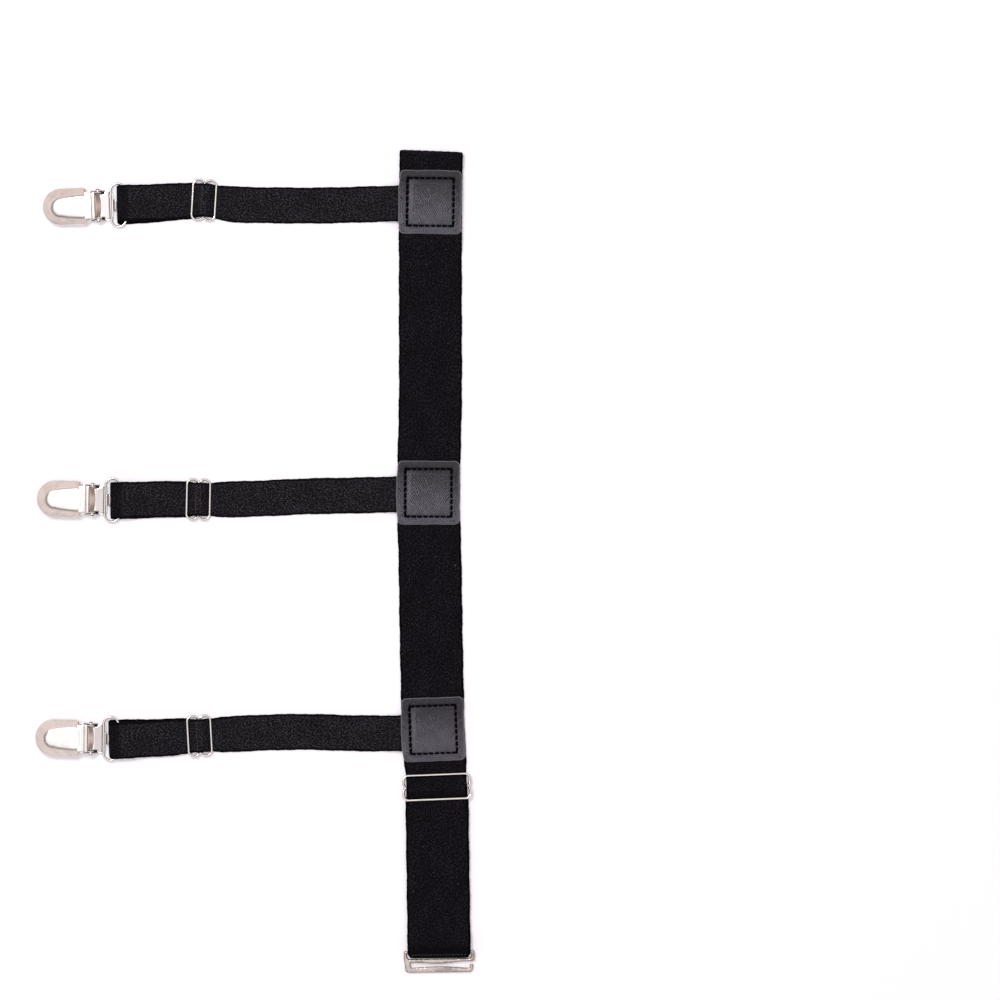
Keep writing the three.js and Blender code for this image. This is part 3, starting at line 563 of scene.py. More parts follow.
class Surface:
    """A material and its nodes."""

    def __init__(self, name, **values):
        self.material = bpy.data.materials.new(name)
        self.material.use_nodes = True
        self.tree = self.material.node_tree
        self.shader = self.tree.nodes["Principled BSDF"]
        for key, value in values.items():
            self.shader.inputs[key.replace("_", " ")].default_value = value

    def node(self, kind, inputs, output=0, **settings):
        """A new node's output. Its inputs go by name or by number."""
        made = self.tree.nodes.new(kind)
        for key, value in settings.items():
            setattr(made, key, value)
        for key, value in inputs.items():
            self.feed(made.inputs[key], value)
        return Value(self, made.outputs[output])

    def feed(self, socket, value):
        if isinstance(value, Value):
            self.tree.links.new(value.socket, socket)
        else:
            socket.default_value = value

    def mark(self, name):
        """A value kept at the mesh's points, as a vector."""
        return self.node("ShaderNodeAttribute", {}, "Vector", attribute_name=name)

    def place(self):
        """The place on the object in millimetres."""
        return self.node("ShaderNodeTexCoord", {}, "Object").stretched((1 / MM, 1 / MM, 1 / MM))

    def finished(self, colour, roughness, height, distance, strength=1.0):
        """The material with this colour, this roughness and a relief of this height."""
        inputs = {"Height": height, "Distance": distance * MM, "Strength": strength}
        relief = self.node("ShaderNodeBump", inputs)
        for name, value in (("Base Color", colour), ("Roughness", roughness), ("Normal", relief)):
            self.feed(self.shader.inputs[name], value)
        return self.material


def grey(value):
    return (value, value, value, 1)


def woven(name, width, light, face_roughness, sheen):
    """Elastic webbing: fine ribs and weft, light flecks, smooth edges, and a few bits of lint."""
    made = Surface(name, Sheen_Weight=sheen, Sheen_Roughness=0.4, Specular_IOR_Level=0.04)
    lay = made.mark("lay")
    along, across, side = (lay.axis(axis) for axis in "XYZ")
    ribs = (across * (2 * math.pi / RIB_PITCH)).math("SINE")
    weft = (along * (2 * math.pi / WEFT_PITCH)).math("SINE")
    fuzz = lay.stretched((1.1, 2.2, 0)).noise(2.2, 5.0, 0.7)
    fleck = lay.stretched((0.8, 1.15, 0), 0.5).noise(1.15, 3.0, 0.85)
    cloud = lay.stretched((0.06, 0.1, 0)).noise(1.0, 2.0)
    lint = lay.stretched((1, 1, 0)).noise(0.5, 2.0, 0.4, 2.5)
    outer, inner = (width / 2 - inset for inset in SELVEDGE)
    woven_part = abs(across).spread(inner, outer, 1.0, 0.0)
    # The flecks are fainter on the back and, as painted shade, on the face just before a fold
    shine = fleck.spread(0.485, 0.6) * cloud.spread(0.3, 0.75, 0.6, 1.0) * side.spread(0.0, 1.0, 0.35, 1.0)
    shine = shine * woven_part * 0.8 + fuzz.spread(0.35, 0.8, 0.0, 0.08)
    colour = shine.blend(CLOTH_BLACK, light)
    colour = woven_part.spread(0, 1, 0.8, 0.0).blend(colour, grey(0.001))
    colour = lint.spread(0.765, 0.79, 0.0, 0.8).blend(colour, grey(0.2))
    roughness = side.spread(-0.5, 0.5, 0.85, face_roughness)
    return made.finished(colour, roughness, (ribs * weft + fuzz * 2.2) * woven_part, 0.09, 0.6)


def leather():
    """Dark grey leather: two slants of faint grain, a painted highlight on the ridge inside the stitches,
    painted shade toward low y, and a lighter cut edge that is partly its own colour and partly a painted
    highlight.
    """
    made = Surface("patch leather", Specular_IOR_Level=0.3, Sheen_Weight=0.02)
    spot = made.mark("lay")
    inset = made.mark("edge").axis("X")
    x, y = spot.axis("X"), spot.axis("Y")
    wobble = spot.noise(0.28, 5.0, 0.65) * 19.0
    falling = (x * 5.2 + y * 3.2 + wobble).math("SINE")
    rising = (x * 5.2 - y * 3.6 + wobble).math("SINE")
    strap_side = (x + spot.noise(0.15, 2.0) * 8.0).spread(2.0, 6.0)
    grain = strap_side.blend(rising.spread(-1, 1), falling.spread(-1, 1))
    depth = spot.noise(0.33, 3.0).spread(0.36, 0.6, 0.05, 0.5) * y.spread(-12.0, 2.0, 0.3, 1.0)
    pebble = spot.noise(1.6, 4.0, 0.75)
    # Painted highlight on the raised ridge just inside the stitches, stronger toward high x
    ridge = inset.spread(4.9, 5.8) * inset.spread(6.8, 8.4, 1.0, 0.0) * x.spread(4.0, 10.0, 0.03, 0.11)
    # The last term is painted shade: the tone is darker toward low y and lighter toward high y
    tone = (grain - 0.5) * depth + pebble + ridge + y.spread(-15.0, 12.0, -0.1, 0.07)
    colour = tone.spread(0.34, 0.72).blend((0.012, 0.0118, 0.0165, 1), (0.142, 0.142, 0.182, 1))
    cloud = spot.noise(0.13, 2.5)
    colour = cloud.spread(0.36, 0.62, 0.3, 0.0).blend(colour, (0.024, 0.0235, 0.03, 1))
    # The lighter cut edge is partly the raw edge's own colour and partly a painted highlight
    colour = inset.spread(0.1, 0.75, 0.85, 0.0).blend(colour, (0.2, 0.197, 0.22, 1))
    return made.finished(colour, tone.spread(0.2, 0.8, 0.7, 0.5), tone, 0.12, 0.7)


def painted_patch_share(lay, start, end, near, far, soft):
    """How much a painted patch of shade or reflection covers, on both sides of the clip alike."""
    along, aside = lay.axis("X"), abs(lay.axis("Y"))
    share = along.spread(start, start + soft) * along.spread(end - soft, end, 1.0, 0.0)
    reach = aside.spread(near, near + soft) * aside.spread(far - soft, far, 1.0, 0.0)
    return share * reach


def metal(name, colour, roughness, ripple=0.0, sides=0.0, dulling=0.86, painted_patches=()):
    """Polished nickel with faint clouding and rubbing marks, painted shade on its steep sides, rippled if
    cast.
    """
    made = Surface(name, Metallic=1.0)
    spot = made.place()
    cloud = spot.noise(0.18, 3.0)
    rub = spot.stretched((0.5, 4, 2)).noise(1.0, 4.0, 0.7)
    wave = spot.stretched((0.6, 1.0, 1.0)).noise(0.9, 1.5, 0.5)
    dull = tuple(c * dulling for c in colour[:3]) + (1,)
    tint = cloud.spread(0.4, 0.75, 0.0, 0.8).blend(colour, dull)
    # Painted shade: the colour turns dark brown where the surface faces aside, as strongly as sides asks
    facing = abs(made.node("ShaderNodeTexCoord", {}, "Normal").axis("Z"))
    tint = facing.spread(0.15, 0.85, sides, 0.0).blend(tint, (0.2, 0.17, 0.155, 1))
    # Listed patches of painted shade and painted reflection, blended over the tint
    for shade, *limits in painted_patches:
        tint = painted_patch_share(made.mark("lay"), *limits).blend(tint, shade)
    wear_and_fold_shade = rub.spread(0.35, 0.75, 0.0, 0.07) + cloud.spread(0.4, 0.7, roughness, roughness + 0.05)
    return made.finished(tint, wear_and_fold_shade, wave * ripple + rub * 0.006, 1.0)


def thread(name, colour, light):
    made = Surface(name, Specular_IOR_Level=0.04)
    fibre = made.place().noise(6.0, 3.0, 0.7)
    tint = fibre.spread(0.4, 0.8).blend(colour, light)
    return made.finished(tint, fibre.spread(0.3, 0.8, 0.75, 0.5), fibre, 0.04, 0.6)


def plastic():
    made = Surface("grip plastic", Specular_IOR_Level=0.4)
    speck = made.place().noise(3.5, 3.0, 0.6)
    tint = speck.spread(0.4, 0.7).blend(grey(0.018), grey(0.045))
    return made.finished(tint, speck.spread(0.3, 0.7, 0.6, 0.42), speck, 0.03, 0.4)


def floor_surface():
    made = Surface("paper floor", Roughness=0.9, Specular_IOR_Level=0.1, Emission_Strength=0.24,
                   Emission_Color=(0.96, 0.95, 1, 1))
    tooth = made.place().noise(0.8, 4.0)
    colour = tooth.spread(0.3, 0.7).blend((0.92, 0.91, 0.96, 1), (0.94, 0.93, 0.98, 1))
    made.feed(made.shader.inputs["Base Color"], colour)
    return made.material


CLOTH_BLACK = (0.0012, 0.0011, 0.0018, 1)
WARM_NICKEL = (0.93, 0.895, 0.875, 1)

# Painted shade and a painted reflection on the clip: colour, reach along it from and to, reach aside from and
# to, soft width
BASE_PAINTED_SHADE = [
    # Painted shade in the gap between the spring plate and each hinge ear
    ((0.01, 0.008, 0.008, 1), 3.2, 9.6, 6.45, 7.9, 0.25),
    # Painted shade along the outside of each ear's front end
    ((0.02, 0.016, 0.015, 1), 9.3, 12.0, 8.3, 9.6, 0.3),
]
# A painted reflection: a duller, pinkish tint over the tongue and the rear of the spring plate
SPRING_PAINTED_REFLECTION = [((0.63, 0.565, 0.57, 1), -9.0, 5.2, -1.0, 9.9, 0.5)]

band_cloth = woven("band elastic", BAND_WIDTH, (0.036, 0.0335, 0.047, 1), 0.8, 0.002)
strap_cloth = woven("strap elastic", STRAP_WIDTH, (0.078, 0.0735, 0.094, 1), 0.6, 0.003)
patch_leather = leather()
wire_metal = metal("wire nickel", (0.93, 0.905, 0.885, 1), 0.1, sides=0.85)
clip_metal = metal("clip nickel", WARM_NICKEL, 0.17, sides=0.35)
base_metal = metal("clip base nickel", WARM_NICKEL, 0.16, sides=0.6, painted_patches=BASE_PAINTED_SHADE)
spring_metal = metal("clip spring nickel", (0.9, 0.86, 0.84, 1), 0.14, sides=0.5, painted_patches=SPRING_PAINTED_REFLECTION)
# The hook's nickel is painted darker and browner than the wire's, painted shade for the dark surroundings it
# reflects; its sides get the strongest painted shade
hook_metal = metal("hook nickel", (0.62, 0.54, 0.5, 1), 0.2, ripple=0.16, sides=0.95, dulling=0.5)
black_thread = thread("black thread", grey(0.0004), grey(0.002))
pale_thread = thread("pale thread", grey(0.04), grey(0.16))
grip_plastic = plastic()


# Ribbons


def slider_seat(sizes, thickness):
    """Where the layers and bars lie at a slider."""
    radius = sizes["wire"] / 2
    near = thickness + METAL_GAP + radius
    far = near + thickness + CLOTH_GAP
    wrap = radius + METAL_GAP + thickness / 2
    return dict(
        bar=(near + far) / 2,
        tilt=math.asin((far - near) / sizes["spacing"]),
        wrap=wrap,
        over=wrap + thickness + CLOTH_GAP,
        low=thickness / 2,
        high=thickness + CLOTH_GAP + thickness / 2,
        climb=math.radians(sizes["climb"]),
        fall=math.radians(sizes["fall"]),
    )


def pass_slider(path, at, seat):
    """Takes the ribbon under the near bar, over the centre bar and under the far bar."""
    bar, over, wrap = seat["bar"], seat["over"], seat["wrap"]
    low, high, climb, fall = seat["low"], seat["high"], seat["climb"], seat["fall"]

    def stretch(level, slope):
        return (math.cos(slope) * (bar - level - wrap) + over + wrap) / math.sin(slope)

    path.arc(at - stretch(low, climb), low + wrap, wrap, -QUARTER, climb - QUARTER)
    path.arc(at, bar, over, QUARTER + climb, QUARTER - fall)
    path.arc(at + stretch(high, fall), high + wrap, wrap, -QUARTER - fall, -QUARTER)


def ribbon_line(front, fold, seat, sizes, at, width, lean, tuck):
    """A ribbon's mid-line points, with its half width and its lean aside at each of them."""
    half = width / 2
    wrap_half = half + sizes["side_gap"] - sizes["notch"] - METAL_GAP
    reach = sizes["spacing"] / 2
    fold_u, fold_z, radius = fold
    step = front.step
    turn = Path(fold_u, fold_z + radius, step)
    turn.arc(fold_u, fold_z, radius, QUARTER, -QUARTER)
    rear = Path(fold_u, seat["low"], step)
    rear.line(at + reach, seat["low"])
    rear.ease(at, seat["bar"] - seat["wrap"])
    wrap = Path(at, seat["bar"] - seat["wrap"], step)
    wrap.arc(at, seat["bar"], seat["wrap"], -QUARTER, -3 * QUARTER - seat["fall"])
    end = wrap.points[-1] + cmath.rect(SEAM_TAIL, -seat["fall"])
    wrap.line(end.real, end.imag)

    def squeezed(u, z):
        return half - SLIDER_SQUEEZE * np.clip(2 - np.abs(u - at) / reach, 0, 1), 0 * u

    def tucked(u, z):
        return half - tuck * (u - fold_u) / radius, lean * (fold_z + radius - z) / (2 * radius)

    def narrowed(u, z):
        return mix(wrap_half, half, np.clip((u - at) / reach, 0, 1)), lean * (u - at) / (fold_u - at)

    def wrapped(u, z):
        return wrap_half + 0 * u, 0 * u

    rows = []
    for path, spread_at in ((front, squeezed), (turn, tucked), (rear, narrowed), (wrap, wrapped)):
        flat = np.array(path.points)[1 if rows else 0:]
        rows.append(np.column_stack([flat.real, flat.imag, *spread_at(flat.real, flat.imag)]))
    return np.concatenate(rows)


# A ribbon's edge in section: distance from the edge, share of the half thickness
RIBBON_EDGE = [
    (0, 0), (0.06, 0.42), (0.2, 0.74), (0.45, 0.9), (0.75, 0.88), (1.0, 0.7), (1.25, 0.86), (1.7, 1),
]


def ribbon(rows, thickness, cell, unevenness):
    """A woven strip along its mid-line, with a thinner line inside each smooth edge."""
    u, z, half, lean = rows.T
    nominal = half.max()
    edge = np.array(RIBBON_EDGE)
    inner = np.arange(-nominal + edge[-1, 0] + cell, nominal - edge[-1, 0] - cell / 2, cell)
    across = np.concatenate([edge[:, 0] - nominal, inner, (nominal - edge[:, 0])[::-1]])
    height = np.concatenate([edge[:, 1], np.ones(len(inner)), edge[::-1, 1]])
    across = np.concatenate([across, across[-2:0:-1]])
    height = np.concatenate([height, -height[-2:0:-1]])
    line = np.column_stack([u, z])
    along = np.gradient(line, axis=0)
    along /= np.linalg.norm(along, axis=1, keepdims=True)
    travelled = np.concatenate([[0], np.cumsum(np.linalg.norm(np.diff(line, axis=0), axis=1))])
    normal = np.column_stack([-along[:, 1], along[:, 0]])
    fray = wander(travelled, (3.1, 0.05, 0.3), (7.7, 0.07, 1.9), (23.0, unevenness, 0.7))
    v = lean[:, None] + across / nominal * (half + 0 * u)[:, None]
    v = v + np.where(np.abs(across) > nominal - 1.3, fray[:, None] * np.sign(across), 0)
    lift = height * thickness / 2
    points = np.stack([u[:, None] + normal[:, :1] * lift, v, z[:, None] + normal[:, 1:] * lift], axis=2)
    count = len(across)
    faces = grid_faces(len(u), count, ring=True)
    last = (len(u) - 1) * count
    faces += [tuple(range(count)), tuple(range(last, last + count))[::-1]]
    side = np.where(height >= 0, 1.0, -1.0)
    # Painted shade before each folded end: over the last 4 mm, fading in from 8 mm, the face is marked like
    # the back, so its light flecks fade and it comes out darker
    wear_and_fold_shade = 1 - smooth(u, u.max() - 8, u.max() - 4)
    face = np.where(side > 0, side * wear_and_fold_shade[:, None], side)
    lay = np.stack(np.broadcast_arrays(travelled[:, None], across[None, :], face), axis=2)
    return (points.reshape(-1, 3), faces), lay.reshape(-1, 3), travelled[-1]


def thread_row(centre, half, pitch, share, radius, rise):
    """Short dashes of thread across a ribbon at one place along it."""
    count = int(2 * half / pitch)
    shapes = []
    for k in range(count):
        v = (k + 0.5 - count / 2) * pitch
        t = np.linspace(-1, 1, 7)
        u, z = centre
        path = np.column_stack([
            u + 0.06 * math.sin(5.3 * k) + 0 * t,
            v + t * pitch * share / 2,
            z + rise - (radius + rise) * t**4,
        ])
        shapes.append(tube(path, radius * (1 - 0.35 * t**4), sides=8, lobes=2, twist=0.8))
    return joined(*shapes)


# Wires


def wire_loop(path, wire):
    outline = path.outline()
    return tube(np.column_stack([outline, 0 * outline[:, 0]]), wire / 2, loop=True)


def slider_shape(sizes, width, seat):
    half_spacing = sizes["spacing"] / 2
    half_span = width / 2 + sizes["side_gap"] + sizes["wire"] / 2
    corner, notch = sizes["corner"], sizes["notch"]
    path = Path(-half_spacing, 0, 0.6)
    for side in (1, -1):
        start = 2 * QUARTER if side > 0 else 0
        path.arc(-side * (half_spacing - corner), side * (half_span - corner), corner, start, start - QUARTER)
        path.line(-side * NOTCH_HALF, side * half_span)
        levels = (half_span, half_span - notch, half_span)
        for end, before, after in zip((-1, 0), levels, levels[1:]):
            middle = side * (end + 0.5) * NOTCH_HALF
            path.curve((middle, side * before), (middle, side * after),
                       (side * (end + 1) * NOTCH_HALF, side * after))
        path.arc(side * (half_spacing - corner), side * (half_span - corner), corner,
                 start - QUARTER, start - 2 * QUARTER)
    path.line(-half_spacing, 0)
    reach = half_span - notch
    v = np.concatenate([[-reach], np.linspace(-reach + 0.5, reach - 0.5, 24), [reach]])
    bar = np.column_stack([0 * v, v, 0 * v])
    flare = sizes["wire"] / 2 * (1 + 0.12 * smooth(np.abs(v), reach - 2.5, reach - 0.5))
    return tilted(joined(wire_loop(path, sizes["wire"]), tube(bar, flare)), -seat["tilt"])


def ring_shape():
    half = (RING_SPAN - RING_WIRE) / 2
    radius = RING_DEPTH / 2
    path = Path(-RING_DEPTH, 0, 0.6)
    path.arc(-radius, half - radius, radius, 2 * QUARTER, 0)
    path.arc(-radius, radius - half, radius, 0, -2 * QUARTER)
    path.line(-RING_DEPTH, 0)
    return wire_loop(path, RING_WIRE)


# Thigh band

band_place = Place(complex(*BAND_START), -QUARTER)
band_drift = Drift(BAND_DRIFT, BAND_REACH, BAND_WIDTH)
band_seat = slider_seat(BAND_SLIDER, BAND_THICKNESS)
hook_radius = (BAND_THICKNESS + HOOK_THICKNESS) / 2 + METAL_GAP
hook_fold = (BAND_REACH - BAND_THICKNESS / 2 - hook_radius, BAND_THICKNESS / 2 + hook_radius, hook_radius)
band_slider_at = STRAPS[2]["along"] + PATCH_HEIGHT / 2 + PATCH_TO_SLIDER


def band_front():
    """The band from its flap round the pocket's fold, and on over the slider to the hook."""
    radius = (BAND_THICKNESS + POCKET_GAP) / 2
    turn = radius + BAND_THICKNESS / 2
    flat_start = PATCH_INSET - EDGE_RUN
    flat_end = PATCH_INSET + PATCH_HEIGHT + EDGE_RUN
    path = Path(PATCH_INSET + PATCH_HEIGHT - FLAP_TUCK, band_seat["low"], 1.0)
    path.arc(turn, turn, radius, -QUARTER, -3 * QUARTER)
    path.line((turn + flat_start) / 2, turn + radius)
    path.ease(flat_start, band_seat["high"])
    path.line(flat_end, band_seat["high"])
    path.ease(flat_end + POCKET_FADE, band_seat["low"])
    pass_slider(path, band_slider_at, band_seat)
    path.line(hook_fold[0] - LOOP_RISE, band_seat["high"])
    path.ease(hook_fold[0] - HOOK_BAR, hook_fold[1] + hook_radius)
    path.line(hook_fold[0], hook_fold[1] + hook_radius)
    return path


def dress_pocket_fold(points):
    """Sets the pocket's folded end a little askew, ribs it and draws it in."""
    u, v = points[:, 0].copy(), points[:, 1].copy()
    points[:, 0] += (0.1 + 0.024 * (v + BAND_WIDTH / 2)) * (1 - smooth(u, 2, 12))
    points[:, 0] += 0.09 * np.sin(2 * np.pi * v / 1.1) * (1 - smooth(u, 0.2, 0.8))
    points[:, 1] *= 1 - 0.03 * (1 - smooth(u, 0, 1.6)) ** 2


def build_band():
    rows = ribbon_line(band_front(), hook_fold, band_seat, BAND_SLIDER, band_slider_at,
                       BAND_WIDTH, 0, HOOK_CORNER_TUCK)
    shape, lay, length = ribbon(rows, BAND_THICKNESS, 1.5, 0.12)
    dress_pocket_fold(shape[0])
    band = piece("band_cloth", shape, band_place, band_cloth, "band_elastic",
                 line=band_drift, marks={"lay": lay})
    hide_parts("thigh_band")
    length * MM
    bars = moved(slider_shape(BAND_SLIDER, BAND_WIDTH, band_seat), z=band_seat["bar"])
    slider = piece("band_slider_wire", bars, band_place.on_ribbon(band_drift, band_slider_at),
                   wire_metal, "nickel_wire")
    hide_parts("band_slider")
    seam_at = hook_fold[0] + 0.35
    seam = thread_row((seam_at, hook_fold[1] + hook_radius + BAND_THICKNESS / 2 - 0.05),
                      BAND_WIDTH / 2 - 2.2, 1.7, 0.5, 0.24, 0.1)
    piece("hook_fold_seam", seam, band_place, pale_thread, "band_elastic", line=band_drift)


# Hook


# The hook past its slot, from one side round to the other. Each row is a curve, or a line if it has
# one handle. A handle has its share of the depth past the slot, its share of the half width aside,
# and how many legs' width it lies further aside.
HOOK_CURVES = [
    [(0.2, 1, 0), (0.2, 1, -1)],
    [(0.2, 0.4, 0), (0.36, 0.3, 0), (0.36, 0, 0)],
    [(0.36, -0.3, 0), (0.27, -0.45, 0), (0.27, -1, 2.4)],
    [(0.27, -1, 2), (0.62, -1, 2), (0.64, -1, 2.6)],
    [(0.6, -0.4, 0), (0.56, -0.3, 0), (0.56, 0, 0)],
    [(0.56, 0.35, 0), (0.66, 0.6, 0), (0.69, 1, -1.9)],
    [(0.66, 1, -1.45), (0.45, 1, -1.5)],
    [(0.36, 1, -1), (0.45, 1, -0.45)],
    [(0.8, 1, -0.3), (1, 1, -1.3)],
    [(1, -1, 1.7)],
    [(1, -1, 0.3), (0.65, -1, 0.3)],
    [(0.3, -1, 0.3), (0, -1, 0)],
]


def hook_outline(slot_end):
    slot_half = BAND_WIDTH / 2 + HOOK_SIDE_GAP
    half = slot_half + HOOK_LEG
    deep = HOOK_HEIGHT - HOOK_BAR / 2 - slot_end
    rear, corner = -HOOK_BAR / 2, HOOK_LEG / 2
    path = Path(rear, half - corner, 0.5)
    path.arc(rear + corner, half - corner, corner, 2 * QUARTER, QUARTER)
    path.line(slot_end, half)
    for handles in HOOK_CURVES:
        spots = [(slot_end + a * deep, b * half + legs * HOOK_LEG) for a, b, legs in handles]
        if len(spots) > 1:
            path.curve(*spots)
        else:
            path.line(*spots[0])
    path.line(rear + corner, -half)
    path.arc(rear + corner, corner - half, corner, -QUARTER, -2 * QUARTER)
    path.line(rear, half - corner)
    slot = Path(HOOK_BAR / 2, slot_half, 0.5)
    for u, v in ((HOOK_BAR / 2, -slot_half), (slot_end - HOOK_CORNER_TUCK, -slot_half),
                 (slot_end, HOOK_CORNER_TUCK - slot_half), (slot_end, slot_half - HOOK_CORNER_TUCK),
                 (slot_end - HOOK_CORNER_TUCK, slot_half), (HOOK_BAR / 2, slot_half)):
        slot.line(u, v)
    return path.outline(), slot.outline()


def build_hook():
    at = hook_fold[0] - HOOK_BAR / 2 - HOOK_SEAT
    tilt = math.asin((hook_fold[1] - HOOK_THICKNESS / 2) / (HOOK_HEIGHT - HOOK_BAR / 2))
    slot_end = (BAND_REACH + METAL_GAP - at) / math.cos(tilt)
    shape = tilted(plate(hook_outline(slot_end), HOOK_THICKNESS, 0.72), tilt)
    hook = piece("band_hook_plate", moved(shape, z=hook_fold[1]), band_place.on_ribbon(band_drift, at),
                 hook_metal, "nickel_wire", flat=True)
    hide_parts("band_hook")


# Straps


def strap_layers(row):
    """The places along a strap that its pieces share."""
    fold_end = BAND_WIDTH / 2 + row["reach"]
    radius = (STRAP_THICKNESS + RING_WIRE + LOOP_PLAY) / 2
    band_top = 2 * BAND_THICKNESS + CLOTH_GAP if row["name"] == "top" else BAND_THICKNESS
    return dict(
        ring_bar=fold_end + row["ring_out"] * RING_DEPTH,
        slider_at=fold_end - row["slider"] * row["reach"],
        drift=Drift(row["drift"], fold_end, STRAP_WIDTH),
        band_top=band_top,
        fold=(fold_end - STRAP_THICKNESS / 2 - radius, STRAP_THICKNESS / 2 + radius, radius),
    )


strap_seat = slider_seat(STRAP_SLIDER, STRAP_THICKNESS)


def strap_front(layers):
    fold_u, fold_z, radius = layers["fold"]
    start = layers["band_top"] + CLOTH_GAP + STRAP_THICKNESS / 2
    inner_bar = layers["ring_bar"] - RING_DEPTH
    path = Path(-STRAP_TAIL, start, 0.9)
    path.line(BAND_WIDTH / 2 + EDGE_RUN, start)
    path.ease(BAND_WIDTH / 2 + STRAP_DROP, strap_seat["low"])
    pass_slider(path, layers["slider_at"], strap_seat)
    path.line(inner_bar - LOOP_RISE, strap_seat["high"])
    path.ease(inner_bar - RING_WIRE, fold_z + radius)
    path.line(fold_u, fold_z + radius)
    return path


def build_strap(row, place, layers):
    name, at = row["name"], layers["slider_at"]
    rows = ribbon_line(strap_front(layers), layers["fold"], strap_seat, STRAP_SLIDER, at,
                       STRAP_WIDTH, row["rear_lean"] * STRAP_WIDTH, 0)
    shape, lay, length = ribbon(rows, STRAP_THICKNESS, 1.3, 0.1)
    cloth = piece(name + "_strap_cloth", shape, place, strap_cloth, "strap_elastic",
                  line=layers["drift"], marks={"lay": lay})
    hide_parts(name + "_strap")
    length * MM
    bar_place = place.on_ribbon(layers["drift"], at)
    bars = moved(slider_shape(STRAP_SLIDER, STRAP_WIDTH, strap_seat), z=strap_seat["bar"])
    slider = piece(name + "_slider_wire", bars, bar_place, wire_metal, "nickel_wire")
    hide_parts(name + "_slider")
    crest = strap_seat["bar"] + strap_seat["over"] + STRAP_THICKNESS / 2
    rows_of_thread = [
        thread_row((side * 1.2, crest - 0.22), STRAP_WIDTH / 2 - 1.6, 1.6, 0.55, 0.21 + 0.06 * side, 0.08)
        for side in (-1, 1)
    ]
    piece(name + "_slider_seam", joined(*rows_of_thread), bar_place, pale_thread, "strap_elastic")


# Patches


def patch_ring(inset, parts=44, corner_parts=10):
    """Points round the patch at a distance inside its edge, the same number at any distance."""
    half_u, half_v = PATCH_LENGTH / 2 - inset, PATCH_HEIGHT / 2 - inset
    corner = min(max(PATCH_CORNER - 0.7 * inset, 0.12), half_u * 0.9)
    points = []
    for k, (su, sv) in enumerate(((1, -1), (1, 1), (-1, 1), (-1, -1))):
        angles = (k - 1 + np.arange(corner_parts + 1) / corner_parts) * QUARTER
        points.append(np.column_stack([
            su * (half_u - corner) + corner * np.cos(angles),
            sv * (half_v - corner) + corner * np.sin(angles),
        ]))
    ring = []
    for k in range(4):
        ring.append(points[k])
        here, there = points[k][-1], points[(k + 1) % 4][0]
        share = np.arange(1, parts)[:, None] / parts
        ring.append(mix(here, there, share))
    return np.concatenate(ring)


PATCH_INSETS = [
    0, 0.05, 0.14, 0.28, 0.5, 0.85, 1.3, 1.8, 2.3, 2.8, 3.2, 3.5, 3.8, 4.05, 4.25, 4.4, 4.5, 4.6, 4.75,
    4.95, 5.2, 5.5, 5.9, 6.4, 7, 7.7, 8.5, 9.4, 10.4, 11.5, 12.6, 13.7, 14.8, 15.8, 16.6, 17.1,
]


def patch_relief(u, v, inset, row, layers):
    """Height of the patch's underside, and of its upper side."""
    aside = row["drift"][0][1] * STRAP_WIDTH
    low = layers["band_top"] + CLOTH_GAP
    lift = STRAP_THICKNESS + CLOTH_GAP
    crest = STRAP_WIDTH / 2 + BUMP_MARGIN
    over_strap = 1 - smooth(np.abs(v - aside), crest, crest + BUMP_SLOPE)
    over_tail = smooth(u, -STRAP_TAIL - BUMP_MARGIN - BUMP_SLOPE / 2, -STRAP_TAIL - BUMP_MARGIN / 2)
    under = low + lift * over_strap * over_tail
    pad = smooth(inset, STITCH_INSET + 0.15, STITCH_INSET + 4.2)
    border = 0.22 * smooth(inset, 0, 1.5) * (1 - smooth(inset, 2.4, STITCH_INSET))
    groove = 0.62 * np.exp(-((inset - STITCH_INSET) / 0.6) ** 2)
    pucker = 0.06 * np.exp(-((inset - STITCH_INSET) / 1.6) ** 2) * np.sin(2 * np.pi * (u + v) / 3.25)
    cut = PATCH_THICKNESS * (1 - 0.5 * (1 - smooth(inset, -0.1, 0.4)))
    over = under + cut + PADDING_HEIGHT * pad + border - groove + pucker
    return under, over


def patch_shape(row, layers):
    """The patch, with its place and its distance inside the edge kept at each point."""
    aside = row["drift"][0][1] * STRAP_WIDTH
    waves = (1 / 5, 0.004, row["along"]), (1 / 13, 0.003, 1.1), (1 / 31, 0.0015, 2)
    rings, insets = [], []
    for inset in PATCH_INSETS:
        ring = patch_ring(inset)
        angle = np.arctan2(ring[:, 1], ring[:, 0])
        fade = 1 - smooth(inset, 0, 4)
        hand = 1 + fade * wander(angle / (2 * np.pi), *waves)
        ring = ring * hand[:, None]
        by_strap = smooth(ring[:, 0], 8, 17) * (1 - smooth(np.abs(ring[:, 1] - aside), 6, 15))
        ring[:, 0] += PATCH_BULGE * fade * by_strap
        rings.append(ring)
        insets.append(np.full(len(ring), inset))
    flat, inset = np.array(rings), np.array(insets)
    under, over = patch_relief(flat[..., 0], flat[..., 1], inset, row, layers)
    upper = np.dstack([flat, over])
    lower = np.dstack([flat, under])
    total, count = inset.shape
    points = np.concatenate([upper.reshape(-1, 3), lower.reshape(-1, 3)])
    top = grid_faces(total, count, ring=True)
    offset = total * count
    faces = top + [tuple(i + offset for i in face[::-1]) for face in top]
    for j in range(count):
        k = (j + 1) % count
        faces.append((j, k, offset + k, offset + j))
    last = (total - 1) * count
    faces += [tuple(range(last, last + count)), tuple(range(offset + last, offset + last + count))[::-1]]
    edge = np.tile(inset.ravel(), 2)
    return (points, faces), points * (1, 1, 0), np.column_stack([edge, 0 * edge, 0 * edge])


